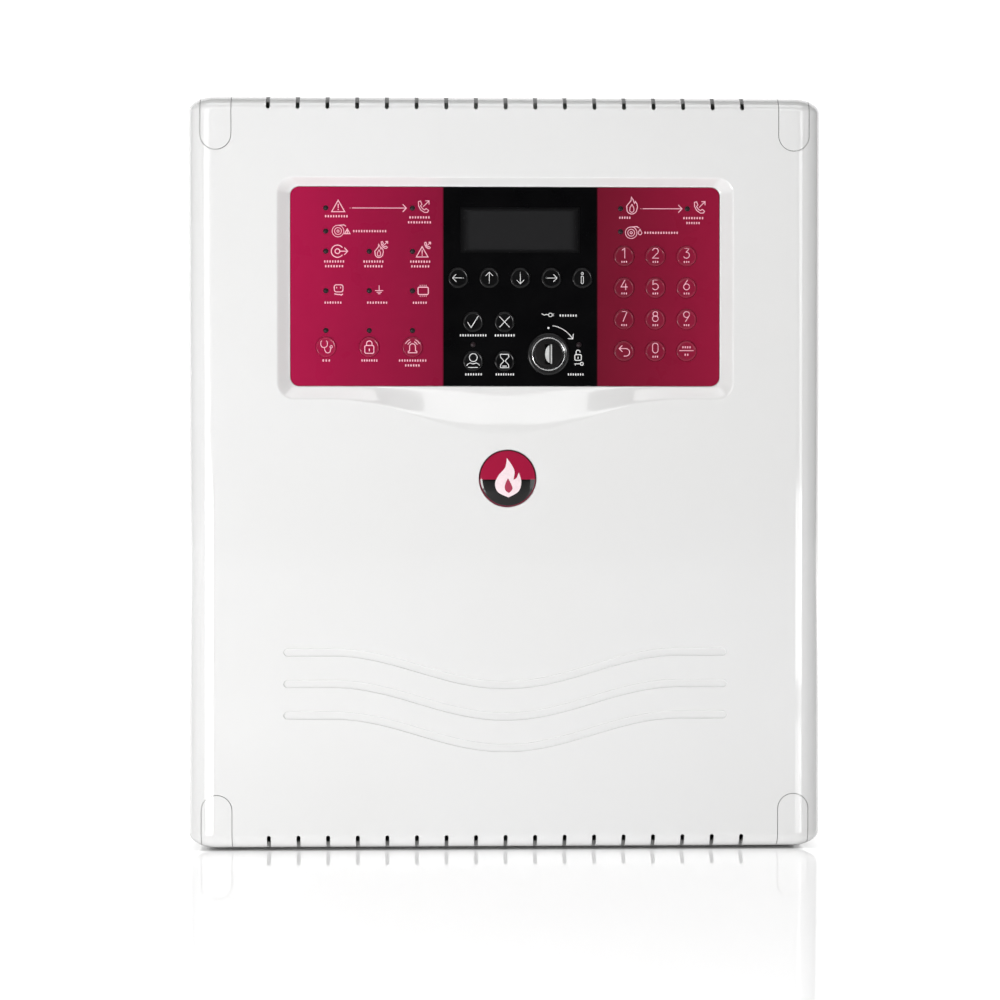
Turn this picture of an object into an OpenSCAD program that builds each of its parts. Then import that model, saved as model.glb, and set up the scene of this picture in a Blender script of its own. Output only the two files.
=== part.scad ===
// Wall-mounted fire alarm control panel.
// Millimetres. The wall face is y = 0, the front looks towards -Y, +Z is up,
// and the origin is the centre of the wall face.

/* [Enclosure] */
// Width of the enclosure
case_w = 322; // [320:1:330]
// Height of the enclosure
case_h = 382; // [380:1:392]
// Depth from the wall face to the flat of the front
case_d = 108; // [106:1:116]
// Depth of the rear housing, from the wall to the split line
split_d = 50; // [49:0.5:52]
// Wall thickness of the two shells
wall = 2.8; // [2.4:0.1:3.2]
// Corner radius of the outline
outline_r = 9; // [8:0.5:11]
// Radius of the cover's left and right shoulders
side_shoulder_r = 13; // [10:0.5:15]
// Radius of the cover's top and bottom shoulders
end_shoulder_r = 8; // [6:0.5:9]

/* [Vents and grooves] */
// Number of vent slots along each of the top and bottom edges
vent_count = 17; // [5:2:17]
// Spacing of the vent slots
vent_pitch = 15; // [12:0.5:15]
// Width of a vent slot
vent_w = 2; // [1.6:0.1:2.4]
// Length of a vent slot on the front
vent_front = 7.2; // [5:0.2:8]
// Depth of a vent slot behind the front
vent_depth = 12; // [8:0.5:16]
// Width of a wave groove
groove_w = 4.2; // [3:0.1:5]
// Depth of a wave groove
groove_d = 0.8; // [0.4:0.1:1]
// Height of the first groove's ends
groove_z = -90.8; // [-96:0.2:-88]
// Spacing of the three grooves
groove_pitch = 16; // [12:0.5:18]
// How far the middle of a groove hangs below its ends
wave_drop = 16.8; // [10:0.2:18]

/* [Fascia] */
// Width of the control fascia
fascia_w = 218; // [216:0.5:219]
// Height of the fascia's lower edge
fascia_low = 44; // [43:0.5:45]
// Height of the fascia's upper edge
fascia_high = 145; // [144:0.5:146]
// Depth of the fascia below the front
fascia_depth = 5; // [4.5:0.1:5.5]
// Diameter of a key
key_d = 10.4; // [9.6:0.1:10.8]
// Travel of a key
key_travel = 0.5; // [0.3:0.05:0.5]
// Diameter of a status lamp
lamp_d = 2.5; // [2:0.1:2.6]
// Outer diameter of the lock's bezel
lock_d = 21.7; // [20:0.1:22]
// Diameter of the lock's plug
plug_d = 14; // [13:0.1:14.6]
// Diameter of the round badge
badge_d = 29; // [26:0.5:30]

/* [Corner screws] */
// Width of a corner cap
cap_w = 16; // [15:0.2:16.4]
// Travel of a cover screw into its post
screw_travel = 13; // [10:0.5:13]

/* [Hinge] */
// Radius of the hinge pins
pin_r = 1.2; // [1:0.05:1.3]
// Radius of the hinge knuckles
knuckle_r = 2.4; // [2.2:0.1:2.6]

/* [Hidden] */
$fn = 64;
gap = 0.3;
run = 0.05;
cut = 1;
front_y = -case_d;
split_y = -split_d;
base_t = 3;
white = "#f1f1f0";

// Corner caps and screws
cap_x = 146.4 + (case_w - 322) / 2;
cap_end = case_h / 2 - 20;
cap_depth = 12;
cap_skin = 1.8;
well_r = 4.1;
well_z = case_h / 2 - 16;
seat_y = split_y - 6;
screw_r = 2;
post_r = 5.5;

// Hinge line, just outside the left side at the split
hinge_x = -case_w / 2 - 0.8;
hinge_y = split_y - gap / 2;
hinge_zs = [-118, 0, 118];
ear_len = 11;
mid_len = 13;

// Fascia, its recess and what is behind it
floor_y = front_y + fascia_depth;
panel_t = 1.6;
ledge_y = floor_y + panel_t;
tub_y = ledge_y + 2.5;
window_w = 60.3;
window_h = 22.9;
window_x = 7.45;
window_z = 123.15;
lock_x = 21.9;
lock_z = 60.3;
board_y = front_y + 16.4;
pcb_t = 1.6;
keypad_post = [fascia_w / 2, fascia_low, fascia_high - 1];

// The four corners: name, side, end
CORNERS = [["top_left", -1, 1], ["top_right", 1, 1], ["bottom_left", -1, -1], ["bottom_right", 1, -1]];

// Rows and columns of the keys: name, x, z
nav = ["left", "up", "down", "right", "info"];
digits = ["1", "2", "3", "4", "5", "6", "7", "8", "9", "back", "0", "menu"];
KEYS = concat(
    [for (i = [0:4]) [str("key_", nav[i]), -23.9 + 15.75 * i, 98.9]],
    [["key_confirm", -16.4, 76.6], ["key_cancel", -0.4, 76.6]],
    [["key_staff", -16.4, 56.8], ["key_delay", -0.4, 56.8]],
    [["key_test", -90.9, 63.8], ["key_lockout", -69, 63.8], ["key_siren", -47.1, 63.8]],
    [for (i = [0:11]) [str("key_", digits[i]), 60.4 + 15.9 * (i % 3), 110.1 - 16.05 * floor(i / 3)]]
);
LAMPS = concat(
    [for (x = [-91, -69, -47.1]) for (z = [112.3, 92.3, 72.2]) [x, z]],
    [[-91, 134.2], [-47.1, 134.2], [-91, 122.5]],
    [[58.6, 134.2], [92.6, 134.2], [58.6, 122.5]],
    [[-16.4, 65.1], [37.4, 65.1]]
);

// Badge
badge = [1, -2.8];
badge_seat = 1.6;
badge_rise = 1.4;

// Main board and what stands on it
spacer_h = 9;
pcb_low = -62;
pcb_high = 126;
pcb_left = -58;
pcb_right = 150;
pcb_face = -(base_t + spacer_h + pcb_t);
pcb_holes = [for (x = [pcb_left + 6, 46, pcb_right - 6]) for (z = [pcb_low + 6, pcb_high - 20]) [x, z]];

// Batteries: 12 V 7 Ah, 151 x 65 x 94
shelf_z = -168;
bat = [151, 65, 94];
tab_x = 67;
tab_y = -57;

// Tamper switch
tamper = [100, 160];
tamper_top = split_y - 4;

// Battery leads, from tab to connector, and the ribbon between the two boards
lead_r = 1.2;
lead_minus = [
    [-144, -57, -67.8], [-144, -57, -63], [-136, -55, -58], [-112, -53, -56], [-80, -52, -56],
    [-56, -46, -56], [-40, -38, -54], [-31, -31, -51], [-30, -25.2, -50]
];
lead_plus = [
    [144, -57, -67.8], [144, -57, -63], [134, -54, -58], [100, -48, -56.5], [50, -42, -56.5],
    [10, -38, -55], [-12, -34, -53], [-21, -30, -51], [-22, -25.2, -50]
];
lead_link = [[-10, -57, -67.8], [-10, -57, -62], [0, -57, -58], [10, -57, -62], [10, -57, -67.8]];
ribbon_low = 70;
ribbon_w = 26;
ribbon_t = 1;
ribbon_route = [
    [-48, -22.9], [-48, -36], [-52, -49], [-64, -54.5], [-90, -55], [-120, -55], [-140, -56],
    [-150.5, -62], [-153, -71], [-149, -80], [-138, -85.5], [-120, -87.4], [-106, -87.9], [-102.2, -88]
];

// ---------- functions ----------

function unit(v) = v / norm(v);

// 1 in the middle, 0 from reach outwards, with a smooth S between
function wave(x, reach = 88) = abs(x) < reach ? (1 + cos(180 * x / reach)) / 2 : 0;

function arc(c, r, from, to, steps) =
    [for (i = [1:steps]) let (a = from + (to - from) * i / steps) c + r * [cos(a), sin(a)]];

// Rounded outline whose lower edge hangs in a wave, anticlockwise from the middle of its upper edge
function wave_outline(half, low, high, r, drop) = concat(
    [[0, high], [r - half, high]],
    arc([r - half, high - r], r, 90, 180, 5),
    arc([r - half, low + r], r, 180, 270, 5),
    [for (i = [1:36]) let (x = (half - r) * (i / 18 - 1)) [x, low - drop * wave(x)]],
    arc([half - r, low + r], r, -90, 0, 5),
    arc([half - r, high - r], r, 0, 90, 5)
);

function at_depth(outline, y) = [for (p = outline) [p[0], y, p[1]]];

// Smooth curve through every point of a route
function spline_point(p, i, t) =
    let (a = p[max(i - 1, 0)], b = p[i], c = p[i + 1], d = p[min(i + 2, len(p) - 1)])
    0.5 * (2 * b + (c - a) * t + (2 * a - 5 * b + 4 * c - d) * t * t + (3 * b - a - 3 * c + d) * t * t * t);
function smooth(p, steps) = concat(
    [for (i = [0:len(p) - 2]) for (s = [0:steps - 1]) spline_point(p, i, s / steps)],
    [p[len(p) - 1]]
);

function tangent(p, i) = unit(p[min(i + 1, len(p) - 1)] - p[max(i - 1, 0)]);

// Both edges of a band of thickness t along a flat route
function band(p, t) = concat(
    [for (i = [0:len(p) - 1]) let (d = tangent(p, i)) p[i] + t / 2 * [-d[1], d[0]]],
    [for (i = [len(p) - 1:-1:0]) let (d = tangent(p, i)) p[i] - t / 2 * [-d[1], d[0]]]
);

function tube_ring(p, i, r, sides, side_dir) =
    let (t = tangent(p, i), a = unit(cross(t, side_dir)), b = cross(t, a))
    [for (k = [0:sides - 1]) p[i] + r * (cos(360 * k / sides) * a + sin(360 * k / sides) * b)];

// ---------- shared forms ----------

// Closed solid through rings of equal length
module skin(rings) {
    n = len(rings[0]);
    last = len(rings) - 1;
    points = [for (ring = rings) for (p = ring) p];
    sides = [for (k = [0:last - 1]) for (i = [0:n - 1]) for (half = [0, 1])
        let (j = (i + 1) % n, a = k * n, b = (k + 1) * n)
        half == 0 ? [a + i, b + i, a + j] : [a + j, b + i, b + j]];
    near_end = [for (i = [0:n - 1]) i];
    far_end = [for (i = [n - 1:-1:0]) last * n + i];
    polyhedron(points = points, faces = concat(sides, [near_end, far_end]), convexity = 6);
}

// Stands a drawing of (x, z) up in space and gives it depth from y_near back to y_far
module slab(y_near, y_far) {
    translate([0, y_far, 0]) rotate([90, 0, 0]) linear_extrude(y_far - y_near) children();
}

// Cylinder along Y, from y_near to y_far
module rod(x, z, r, y_near, y_far) {
    translate([x, y_far, z]) rotate([90, 0, 0]) cylinder(r = r, h = y_far - y_near);
}

module rounded_rect(w, h, r) {
    square([w - 2 * r, h], center = true);
    square([w, h - 2 * r], center = true);
    for (x = [-1, 1]) for (z = [-1, 1]) translate([x * (w / 2 - r), z * (h / 2 - r)]) circle(r = r);
}

// Rectangle from 0 back to depth d, with its two front corners rounded
module shoulders(w, d, r) {
    translate([-w / 2, r - d]) square([w, d - r]);
    translate([r - w / 2, -d]) square([w - 2 * r, 2 * r]);
    for (s = [-1, 1]) translate([s * (w / 2 - r), r - d]) circle(r = r);
}

// The closed case's outer form, drawn inwards by inset
module case_form(inset) {
    w = case_w - 2 * inset;
    h = case_h - 2 * inset;
    d = case_d - inset;
    intersection() {
        slab(-d, 0) rounded_rect(w, h, outline_r - inset);
        translate([0, 0, -h / 2]) linear_extrude(h) shoulders(w, d, side_shoulder_r - inset);
        rotate([90, 0, 90]) translate([0, 0, -w / 2]) linear_extrude(w)
            rotate(-90) shoulders(h, d, end_shoulder_r - inset);
    }
}

// Corner cap's outline at a corner, grown by g
module tongue(sx, sz, g) {
    r = cap_w / 2 + g;
    translate([sx * cap_x, sz * (cap_end)]) circle(r = r);
    translate([sx * cap_x - r, sz > 0 ? cap_end : -case_h / 2 - cut])
        square([2 * r, case_h / 2 + cut - cap_end]);
}

module knuckle(z, length, r) {
    translate([hinge_x, hinge_y, z - length / 2]) cylinder(r = r, h = length);
}

module ears(z, r, extra) {
    for (s = [-1, 1]) knuckle(z + s * (mid_len + ear_len) / 2, ear_len + extra, r);
}

module groove(z) {
    half = 112.5 - groove_w / 2;
    line = [for (i = [-18:18]) let (x = half * i / 18) [x, z - wave_drop * wave(x)]];
    polygon(band(line, groove_w));
    for (s = [-1, 1]) translate([s * half, z]) circle(r = groove_w / 2);
}

module vent_row() {
    for (i = [0:vent_count - 1]) translate([(i - (vent_count - 1) / 2) * vent_pitch, 0]) {
        translate([-vent_w / 2, case_h / 2 - vent_front + vent_w / 2]) square([vent_w, vent_front + cut]);
        translate([0, case_h / 2 - vent_front + vent_w / 2]) circle(r = vent_w / 2);
    }
}

// ---------- rear housing and what it carries ----------

module rear_housing() {
    color(white) difference() {
        union() {
            difference() {
                slab(split_y, 0) rounded_rect(case_w, case_h, outline_r);
                slab(split_y - cut, -base_t)
                    rounded_rect(case_w - 2 * wall, case_h - 2 * wall, outline_r - wall);
            }
            for (c = CORNERS) rod(c[1] * cap_x, c[2] * well_z, post_r, split_y, -base_t / 2);
            translate([-case_w / 2 + wall / 2, split_y + 3, shelf_z - 2])
                cube([case_w - wall, split_d - 3 - base_t / 2, 2]);
            for (z = hinge_zs) ears(z, knuckle_r, -0.2);
        }
        for (c = CORNERS) rod(c[1] * cap_x, c[2] * well_z, screw_r + run, split_y - cut, split_y + 16);
        for (x = [-120, 120]) for (z = [-150, 150]) rod(x, z, 2.75, -base_t - cut, cut);
        slab(-base_t - cut, cut) translate([0, 156]) rounded_rect(80, 32, 4);
        for (z = hinge_zs) {
            knuckle(z, mid_len + 2 * ear_len + 2 * cut, pin_r + run);
            knuckle(z, mid_len + 0.2, knuckle_r + gap);
        }
    }
}

module hinge_pins() {
    color("silver") for (z = hinge_zs) knuckle(z, mid_len + 2 * ear_len, pin_r);
}

module main_board() {
    color("#1d6b3c") difference() {
        slab(pcb_face, pcb_face + pcb_t)
            translate([pcb_left, pcb_low]) square([pcb_right - pcb_left, pcb_high - pcb_low]);
        for (p = pcb_holes) rod(p[0], p[1], 1.7, pcb_face - cut, pcb_face + pcb_t + cut);
    }
}

module board_spacers() {
    color("gold") difference() {
        for (p = pcb_holes) rod(p[0], p[1], 3, -base_t - spacer_h, -base_t);
        for (p = pcb_holes) rod(p[0], p[1], 1.5, -base_t - spacer_h - cut, -base_t - 1);
    }
}

module board_screws() {
    color("silver") for (p = pcb_holes) {
        rod(p[0], p[1], 2.8, pcb_face - 2, pcb_face);
        rod(p[0], p[1], 1.45, pcb_face - 0.1, pcb_face + 8);
    }
}

// One three-way block, its stepped section drawn in (z, y)
module terminal_block(length) {
    rotate([90, 0, 90]) linear_extrude(length)
        polygon([[0, 0], [0, 11], [-7, 11], [-8.5, 8], [-12, 8], [-12, 0]]);
}

module terminal_blocks() {
    color("#3f9a55") {
        for (i = [0:11]) translate([pcb_left + 8 + 16.4 * i, pcb_face, pcb_high - 1])
            rotate([90, 0, 0]) terminal_block(15);
        for (i = [0:5]) translate([pcb_right - 1, pcb_face, -36 + 20 * i])
            rotate([0, 90, 0]) rotate([90, 0, 0]) terminal_block(15);
        translate([-140, -base_t, 140]) rotate([90, 0, 0]) terminal_block(45);
    }
}

module relays() {
    color("#2a4a9c") for (i = [0:3])
        translate([112, pcb_face - 15.5, -28 + 26 * i]) cube([19, 15.5, 15]);
}

module board_components() {
    color("#26282b") {
        translate([14, pcb_face - 1.6, 26]) cube([22, 1.6, 22]);
        translate([58, pcb_face - 1.6, 36]) cube([14, 1.6, 20]);
        translate([-53, pcb_face - 9, ribbon_low - 3]) cube([10, 9, ribbon_w + 6]);
        translate([-38, pcb_face - 11, -56]) cube([24, 11, 12]);
    }
    color("#3a3f46") for (i = [0:4]) rod(-34 + 17 * i, -22, 6.3, pcb_face - 22, pcb_face);
    color("ivory") for (i = [0:5]) translate([6 + 14 * i, pcb_face - 9, 78]) cube([7, 9, 22]);
}

module sounder() {
    color("#202020") difference() {
        rod(-30, 34, 12.5, pcb_face - 10, pcb_face);
        rod(-30, 34, 1.5, pcb_face - 10 - cut, pcb_face - 6);
    }
}

module power_supply() {
    color("#b9bcc0") {
        translate([-150, -47, -58]) cube([82, 47 - base_t, 170]);
        translate([-150, -base_t - 1.5, -62]) cube([82, 1.5, 178]);
    }
}

module tamper_switch() {
    color("#303236") difference() {
        translate([tamper[0] - 8, tamper_top + 10, tamper[1] - 6]) cube([16, -base_t - tamper_top - 10, 12]);
        rod(tamper[0], tamper[1], 2 + run, tamper_top + 10 - cut, tamper_top + 24);
    }
}

module tamper_plunger() {
    color("ivory") {
        rod(tamper[0], tamper[1], 2, tamper_top + 1, tamper_top + 20);
        rod(tamper[0], tamper[1], 4, tamper_top, tamper_top + 4);
    }
}

module battery(x) {
    color("#4b5057") translate([x, 0, shelf_z]) {
        translate([-bat[0] / 2, -4 - bat[1], 0]) cube([bat[0], bat[1], bat[2] - 4]);
        translate([-bat[0] / 2 + 1, -3 - bat[1], 0]) cube([bat[0] - 2, bat[1] - 2, bat[2]]);
        for (s = [-1, 1]) translate([s * tab_x - 2.4, tab_y - 0.4, bat[2] - 1]) cube([4.8, 0.8, 7]);
    }
}

module battery_left() { battery(-bat[0] / 2 - 1.5); }
module battery_right() { battery(bat[0] / 2 + 1.5); }

module lead(route) {
    line = smooth(route, 3);
    skin([for (i = [0:len(line) - 1]) tube_ring(line, i, lead_r, 8, [0, 1, 0.2])]);
}

module battery_leads() {
    color("firebrick") lead(lead_plus);
    color("#202020") lead(lead_minus);
    color("#202020") lead(lead_link);
}

module ribbon_cable() {
    color("#9a9da1") translate([0, 0, ribbon_low]) linear_extrude(ribbon_w)
        polygon(band(smooth(ribbon_route, 4), ribbon_t));
}

// ---------- cover and what it carries ----------

// Everything that is removed to form the sunken fascia and its ramp
module fascia_recess() {
    half = fascia_w / 2 + 0.2;
    sunk = wave_outline(half, fascia_low - 0.2, fascia_high + 0.2, 4.7, 0);
    rim = wave_outline(half + 6.3, fascia_low - 6.4, fascia_high + 4.3, 8, wave_drop);
    skin([at_depth(sunk, floor_y), at_depth(rim, front_y), at_depth(rim, front_y - cut)]);
    mid = (fascia_low + fascia_high) / 2;
    height = fascia_high - fascia_low;
    slab(front_y, ledge_y) translate([0, mid]) rounded_rect(fascia_w + 0.4, height + 0.4, 4.7);
    slab(ledge_y - cut, tub_y + cut) translate([0, mid]) rounded_rect(fascia_w - 9, height - 9, 3);
}

module front_cover() {
    color(white) difference() {
        union() {
            difference() {
                case_form(0);
                case_form(wall);
                slab(split_y - gap, cut) square([case_w + cut, case_h + cut], center = true);
            }
            slab(front_y + wall / 2, tub_y) translate([0, 83]) rounded_rect(236, 138, 8);
            intersection() {
                case_form(wall / 2);
                slab(front_y, front_y + cap_depth + wall) for (c = CORNERS) tongue(c[1], c[2], wall);
            }
            for (c = CORNERS)
                rod(c[1] * cap_x, c[2] * well_z, well_r + 2, front_y + cap_depth, split_y - gap);
            for (x = [-1, 1]) for (z = [keypad_post[1], keypad_post[2]])
                rod(x * keypad_post[0], z, 3.5, tub_y - 1, board_y);
            rod(tamper[0], tamper[1], 3, front_y + wall / 2, tamper_top - gap);
            for (z = hinge_zs) knuckle(z, mid_len - 0.2, knuckle_r);
        }
        for (z = hinge_zs) {
            knuckle(z, mid_len + cut, pin_r + run);
            ears(z, knuckle_r + gap, 0.2);
        }
        fascia_recess();
        slab(front_y - cut, front_y + vent_depth) {
            vent_row();
            mirror([0, 1]) vent_row();
        }
        slab(front_y - cut, front_y + groove_d) for (i = [0:2]) groove(groove_z - groove_pitch * i);
        slab(front_y - cut, front_y + cap_depth) for (c = CORNERS) tongue(c[1], c[2], 0);
        for (c = CORNERS) {
            rod(c[1] * cap_x, c[2] * well_z, well_r, front_y - cut, seat_y);
            rod(c[1] * cap_x, c[2] * well_z, screw_r + 0.2, seat_y - cut, split_y + cut);
        }
        for (x = [-1, 1]) for (z = [keypad_post[1], keypad_post[2]])
            rod(x * keypad_post[0], z, 1.5, board_y - 5, board_y + cut);
        rod(badge[0], badge[1], badge_d / 2 + 0.2, front_y - cut, front_y + badge_seat);
    }
}

module fascia_panel() {
    color("#9a1f44") difference() {
        slab(floor_y - 0.1, ledge_y) translate([0, (fascia_low + fascia_high) / 2])
            rounded_rect(fascia_w - 0.2, fascia_high - fascia_low - 0.2, 4.5);
        slab(floor_y - cut, ledge_y + cut) translate([window_x, window_z])
            square([window_w + 0.2, window_h + 0.2], center = true);
        for (k = KEYS) rod(k[1], k[2], key_d / 2 + gap / 2, floor_y - cut, ledge_y + cut);
        for (p = LAMPS) rod(p[0], p[1], lamp_d / 2 + 0.1, floor_y - cut, ledge_y + cut);
        rod(lock_x, lock_z, lock_d / 2 - 1.9, floor_y - cut, ledge_y + cut);
    }
}

module display_window() {
    color("#2c2f33") slab(floor_y, ledge_y) translate([window_x, window_z])
        square([window_w, window_h], center = true);
}

module display_module() {
    color("#24563a") slab(board_y - 3.4, board_y - 1.8) translate([window_x, window_z])
        square([80, 35], center = true);
    color("#1a1a1a") slab(board_y - 8.8, board_y - 3.4) translate([window_x, window_z])
        square([71, 30], center = true);
}

module keypad_board() {
    color("#1d6b3c") difference() {
        slab(board_y, board_y + pcb_t) translate([0, 93.5]) square([227, 108], center = true);
        rod(lock_x, lock_z, lock_d / 2 - 1.5, board_y - cut, board_y + pcb_t + cut);
        for (x = [-1, 1]) for (z = [keypad_post[1], keypad_post[2]])
            rod(x * keypad_post[0], z, 1.7, board_y - cut, board_y + pcb_t + cut);
    }
    color("ivory") translate([-102, board_y + pcb_t, ribbon_low - 2]) cube([7, 4, ribbon_w + 4]);
}

module keypad_screws() {
    color("silver") for (x = [-1, 1]) for (z = [keypad_post[1], keypad_post[2]]) {
        rod(x * keypad_post[0], z, 2.8, board_y + pcb_t, board_y + pcb_t + 2);
        rod(x * keypad_post[0], z, 1.45, board_y - 4, board_y + pcb_t + 0.1);
    }
}

module tact_switches() {
    color("#1c1c1c") for (k = KEYS) {
        translate([k[1] - 3, board_y - 3.5, k[2] - 3]) cube([6, 3.5, 6]);
        rod(k[1], k[2], 1.6, board_y - 4.3, board_y - 3);
    }
}

module status_lamps() {
    color("#3a3033") for (p = LAMPS) rod(p[0], p[1], lamp_d / 2, floor_y - 0.3, board_y);
}

module key(x, z) {
    color("#8b1c3d") {
        rod(x, z, key_d / 2, floor_y - 0.6, ledge_y + gap + 0.5);
        rod(x, z, key_d / 2 + 0.6, ledge_y + gap, ledge_y + gap + 0.8);
        rod(x, z, 1.8, ledge_y + gap, board_y - 4.4 - key_travel);
    }
}

module lock_body() {
    bezel_y = floor_y - 0.1;
    color("#1c1c1c") difference() {
        union() {
            rod(lock_x, lock_z, lock_d / 2, bezel_y - 1.8, bezel_y);
            rod(lock_x, lock_z, lock_d / 2 - 2.1, bezel_y - 0.5, board_y + 11);
            translate([lock_x - 9.5, board_y + 10, lock_z - 9.5]) cube([19, 11, 19]);
        }
        rod(lock_x, lock_z, plug_d / 2 + run, bezel_y - 3, board_y + 10);
    }
}

module lock_nut() {
    color("silver") difference() {
        translate([lock_x, ledge_y + 3, lock_z]) rotate([90, 0, 0]) cylinder(r = 12.2, h = 3, $fn = 6);
        rod(lock_x, lock_z, lock_d / 2 - 2.05, ledge_y - cut, ledge_y + 3 + cut);
    }
}

module lock_plug() {
    face_y = floor_y - 2;
    color("#161616") difference() {
        rod(lock_x, lock_z, plug_d / 2, face_y, board_y + 9.7);
        translate([lock_x - 1.8, face_y - cut, lock_z - 5.2]) cube([3.6, 7 + cut, 10.4]);
    }
}

// Height of the badge's domed face above its seat, at a distance x from its middle
function dome(x) =
    let (r = (pow(badge_d / 2, 2) + pow(badge_rise, 2)) / (2 * badge_rise))
    badge_seat + badge_rise - r + sqrt(r * r - x * x);

module badge() {
    face = [for (i = [8:-1:0]) let (x = badge_d / 2 * i / 8) [x, dome(x)]];
    color("#9a1f44") translate([badge[0], front_y + badge_seat, badge[1]]) rotate([90, 0, 0])
        rotate_extrude() polygon(concat([[0, 0], [badge_d / 2, 0]], face));
}

module corner_cap(sx, sz) {
    color(white) {
        difference() {
            intersection() {
                case_form(0);
                slab(front_y - cut, front_y + cap_depth - gap) tongue(sx, sz, -gap / 2);
            }
            intersection() {
                case_form(cap_skin);
                slab(front_y - cut, front_y + cap_depth + cut) tongue(sx, sz, -gap / 2 - cap_skin);
            }
        }
        difference() {
            rod(sx * cap_x, sz * well_z, well_r - 0.2, front_y + cap_skin / 2, front_y + cap_depth + 4);
            rod(sx * cap_x, sz * well_z, well_r - 1.2, front_y + cap_skin, front_y + cap_depth + 4 + cut);
        }
    }
}

// A captive screw, backed out so that its point is inside the cover's tower
module cover_screw(sx, sz) {
    head_y = seat_y - screw_travel;
    color("silver") difference() {
        union() {
            rod(sx * cap_x, sz * well_z, 3.6, head_y - 2.6, head_y);
            rod(sx * cap_x, sz * well_z, screw_r, head_y - 0.1, head_y + 18);
        }
        for (a = [0, 90]) translate([sx * cap_x, head_y - 2.6, sz * well_z])
            rotate([0, a, 0]) cube([4.2, 2.6, 0.9], center = true);
    }
}

rear_housing();
hinge_pins();
main_board();
board_spacers();
board_screws();
terminal_blocks();
relays();
board_components();
sounder();
power_supply();
tamper_switch();
tamper_plunger();
battery_left();
battery_right();
battery_leads();
ribbon_cable();
front_cover();
fascia_panel();
display_window();
display_module();
keypad_board();
keypad_screws();
tact_switches();
status_lamps();
lock_body();
lock_nut();
lock_plug();
badge();
for (c = CORNERS) corner_cap(c[1], c[2]);
for (c = CORNERS) cover_screw(c[1], c[2]);
for (k = KEYS) key(k[1], k[2]);
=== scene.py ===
"""Looks of a wall-mounted fire alarm control panel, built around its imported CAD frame.

Shapes are drawn in millimetres in the CAD frame: x to the right, y into the wall, z up.
from_bmesh() turns them into metres.
"""

import math

import bmesh
import bpy
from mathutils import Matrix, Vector


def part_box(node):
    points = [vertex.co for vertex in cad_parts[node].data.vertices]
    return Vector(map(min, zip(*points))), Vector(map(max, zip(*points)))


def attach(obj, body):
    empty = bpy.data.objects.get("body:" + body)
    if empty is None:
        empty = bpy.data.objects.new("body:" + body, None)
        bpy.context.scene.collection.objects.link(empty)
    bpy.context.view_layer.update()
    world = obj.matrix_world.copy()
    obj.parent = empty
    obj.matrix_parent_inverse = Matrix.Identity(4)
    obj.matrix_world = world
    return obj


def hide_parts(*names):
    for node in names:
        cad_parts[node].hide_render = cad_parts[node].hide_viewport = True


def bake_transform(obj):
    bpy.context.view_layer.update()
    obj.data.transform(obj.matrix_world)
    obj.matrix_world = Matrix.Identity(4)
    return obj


MM = 0.001

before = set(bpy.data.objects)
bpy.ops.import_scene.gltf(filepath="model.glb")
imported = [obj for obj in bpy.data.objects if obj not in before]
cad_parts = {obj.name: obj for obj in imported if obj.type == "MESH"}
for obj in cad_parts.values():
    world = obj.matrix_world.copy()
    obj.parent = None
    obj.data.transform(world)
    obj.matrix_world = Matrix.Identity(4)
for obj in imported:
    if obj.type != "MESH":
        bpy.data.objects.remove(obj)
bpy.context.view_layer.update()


def box_mm(node):
    """Lowest and highest corner of a CAD node, in millimetres."""
    low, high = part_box(node)
    return low / MM, high / MM


def centre_xz(node):
    low, high = box_mm(node)
    return (low.x + high.x) / 2, (low.z + high.z) / 2


# ---------- driving sizes, from the frame ----------

COVER_LOW, COVER_HIGH = box_mm("front_cover")
CASE_X, CASE_Z, FRONT = COVER_HIGH.x, COVER_HIGH.z, COVER_LOW.y
SPLIT = -50.0
PART_GAP = 0.3
WALL = 2.8
SHOULDER = Vector((14.0, 12.0, 8.0))

PANEL_LOW, PANEL_HIGH = box_mm("fascia_panel")
FLOOR = PANEL_LOW.y + 0.1
FILM = FLOOR - 0.1
LEDGE = PANEL_HIGH.y
TUB = LEDGE + 2.5
PANEL_W = PANEL_HIGH.x - PANEL_LOW.x
PANEL_H = PANEL_HIGH.z - PANEL_LOW.z
PANEL_MID = (PANEL_LOW.z + PANEL_HIGH.z) / 2
BOARD = box_mm("keypad_board")[0].y
BOARD_LOW, BOARD_HIGH = box_mm("main_board")
BOARD_FACE = BOARD_LOW.y
RIBBON_LOW = box_mm("ribbon_cable")[0].z
POSTS = [(x, z) for x in (-PANEL_HIGH.x - 0.1, PANEL_HIGH.x + 0.1) for z in (PANEL_LOW.z - 0.1, PANEL_HIGH.z - 0.9)]
WAVE_DROP = 16.8
WAVE_REACH = 88.0
BLACK_FROM, BLACK_TO = -31.55, 46.75

CORNERS = {"top_left": (-1, 1), "top_right": (1, 1), "bottom_left": (-1, -1), "bottom_right": (1, -1)}
CAP_X, CAP_R = centre_xz("cap_top_right")[0], 8.0
CAP_END = CASE_Z - 20
WELL_Z = CASE_Z - 16
WELLS = [(sx * CAP_X, sz * WELL_Z) for sx, sz in CORNERS.values()]
WALL_HOLES = [(x, z) for x in (-120, 120) for z in (-150, 150)]
CAP_DEPTH = 12.0
HINGE_X, HINGE_Y = -CASE_X - 0.8, SPLIT - PART_GAP / 2
HINGE_ZS = (-118, 0, 118)
EAR, MID_KNUCKLE, KNUCKLE_R, PIN_R = 11.0, 13.0, 2.4, 1.2

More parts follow.
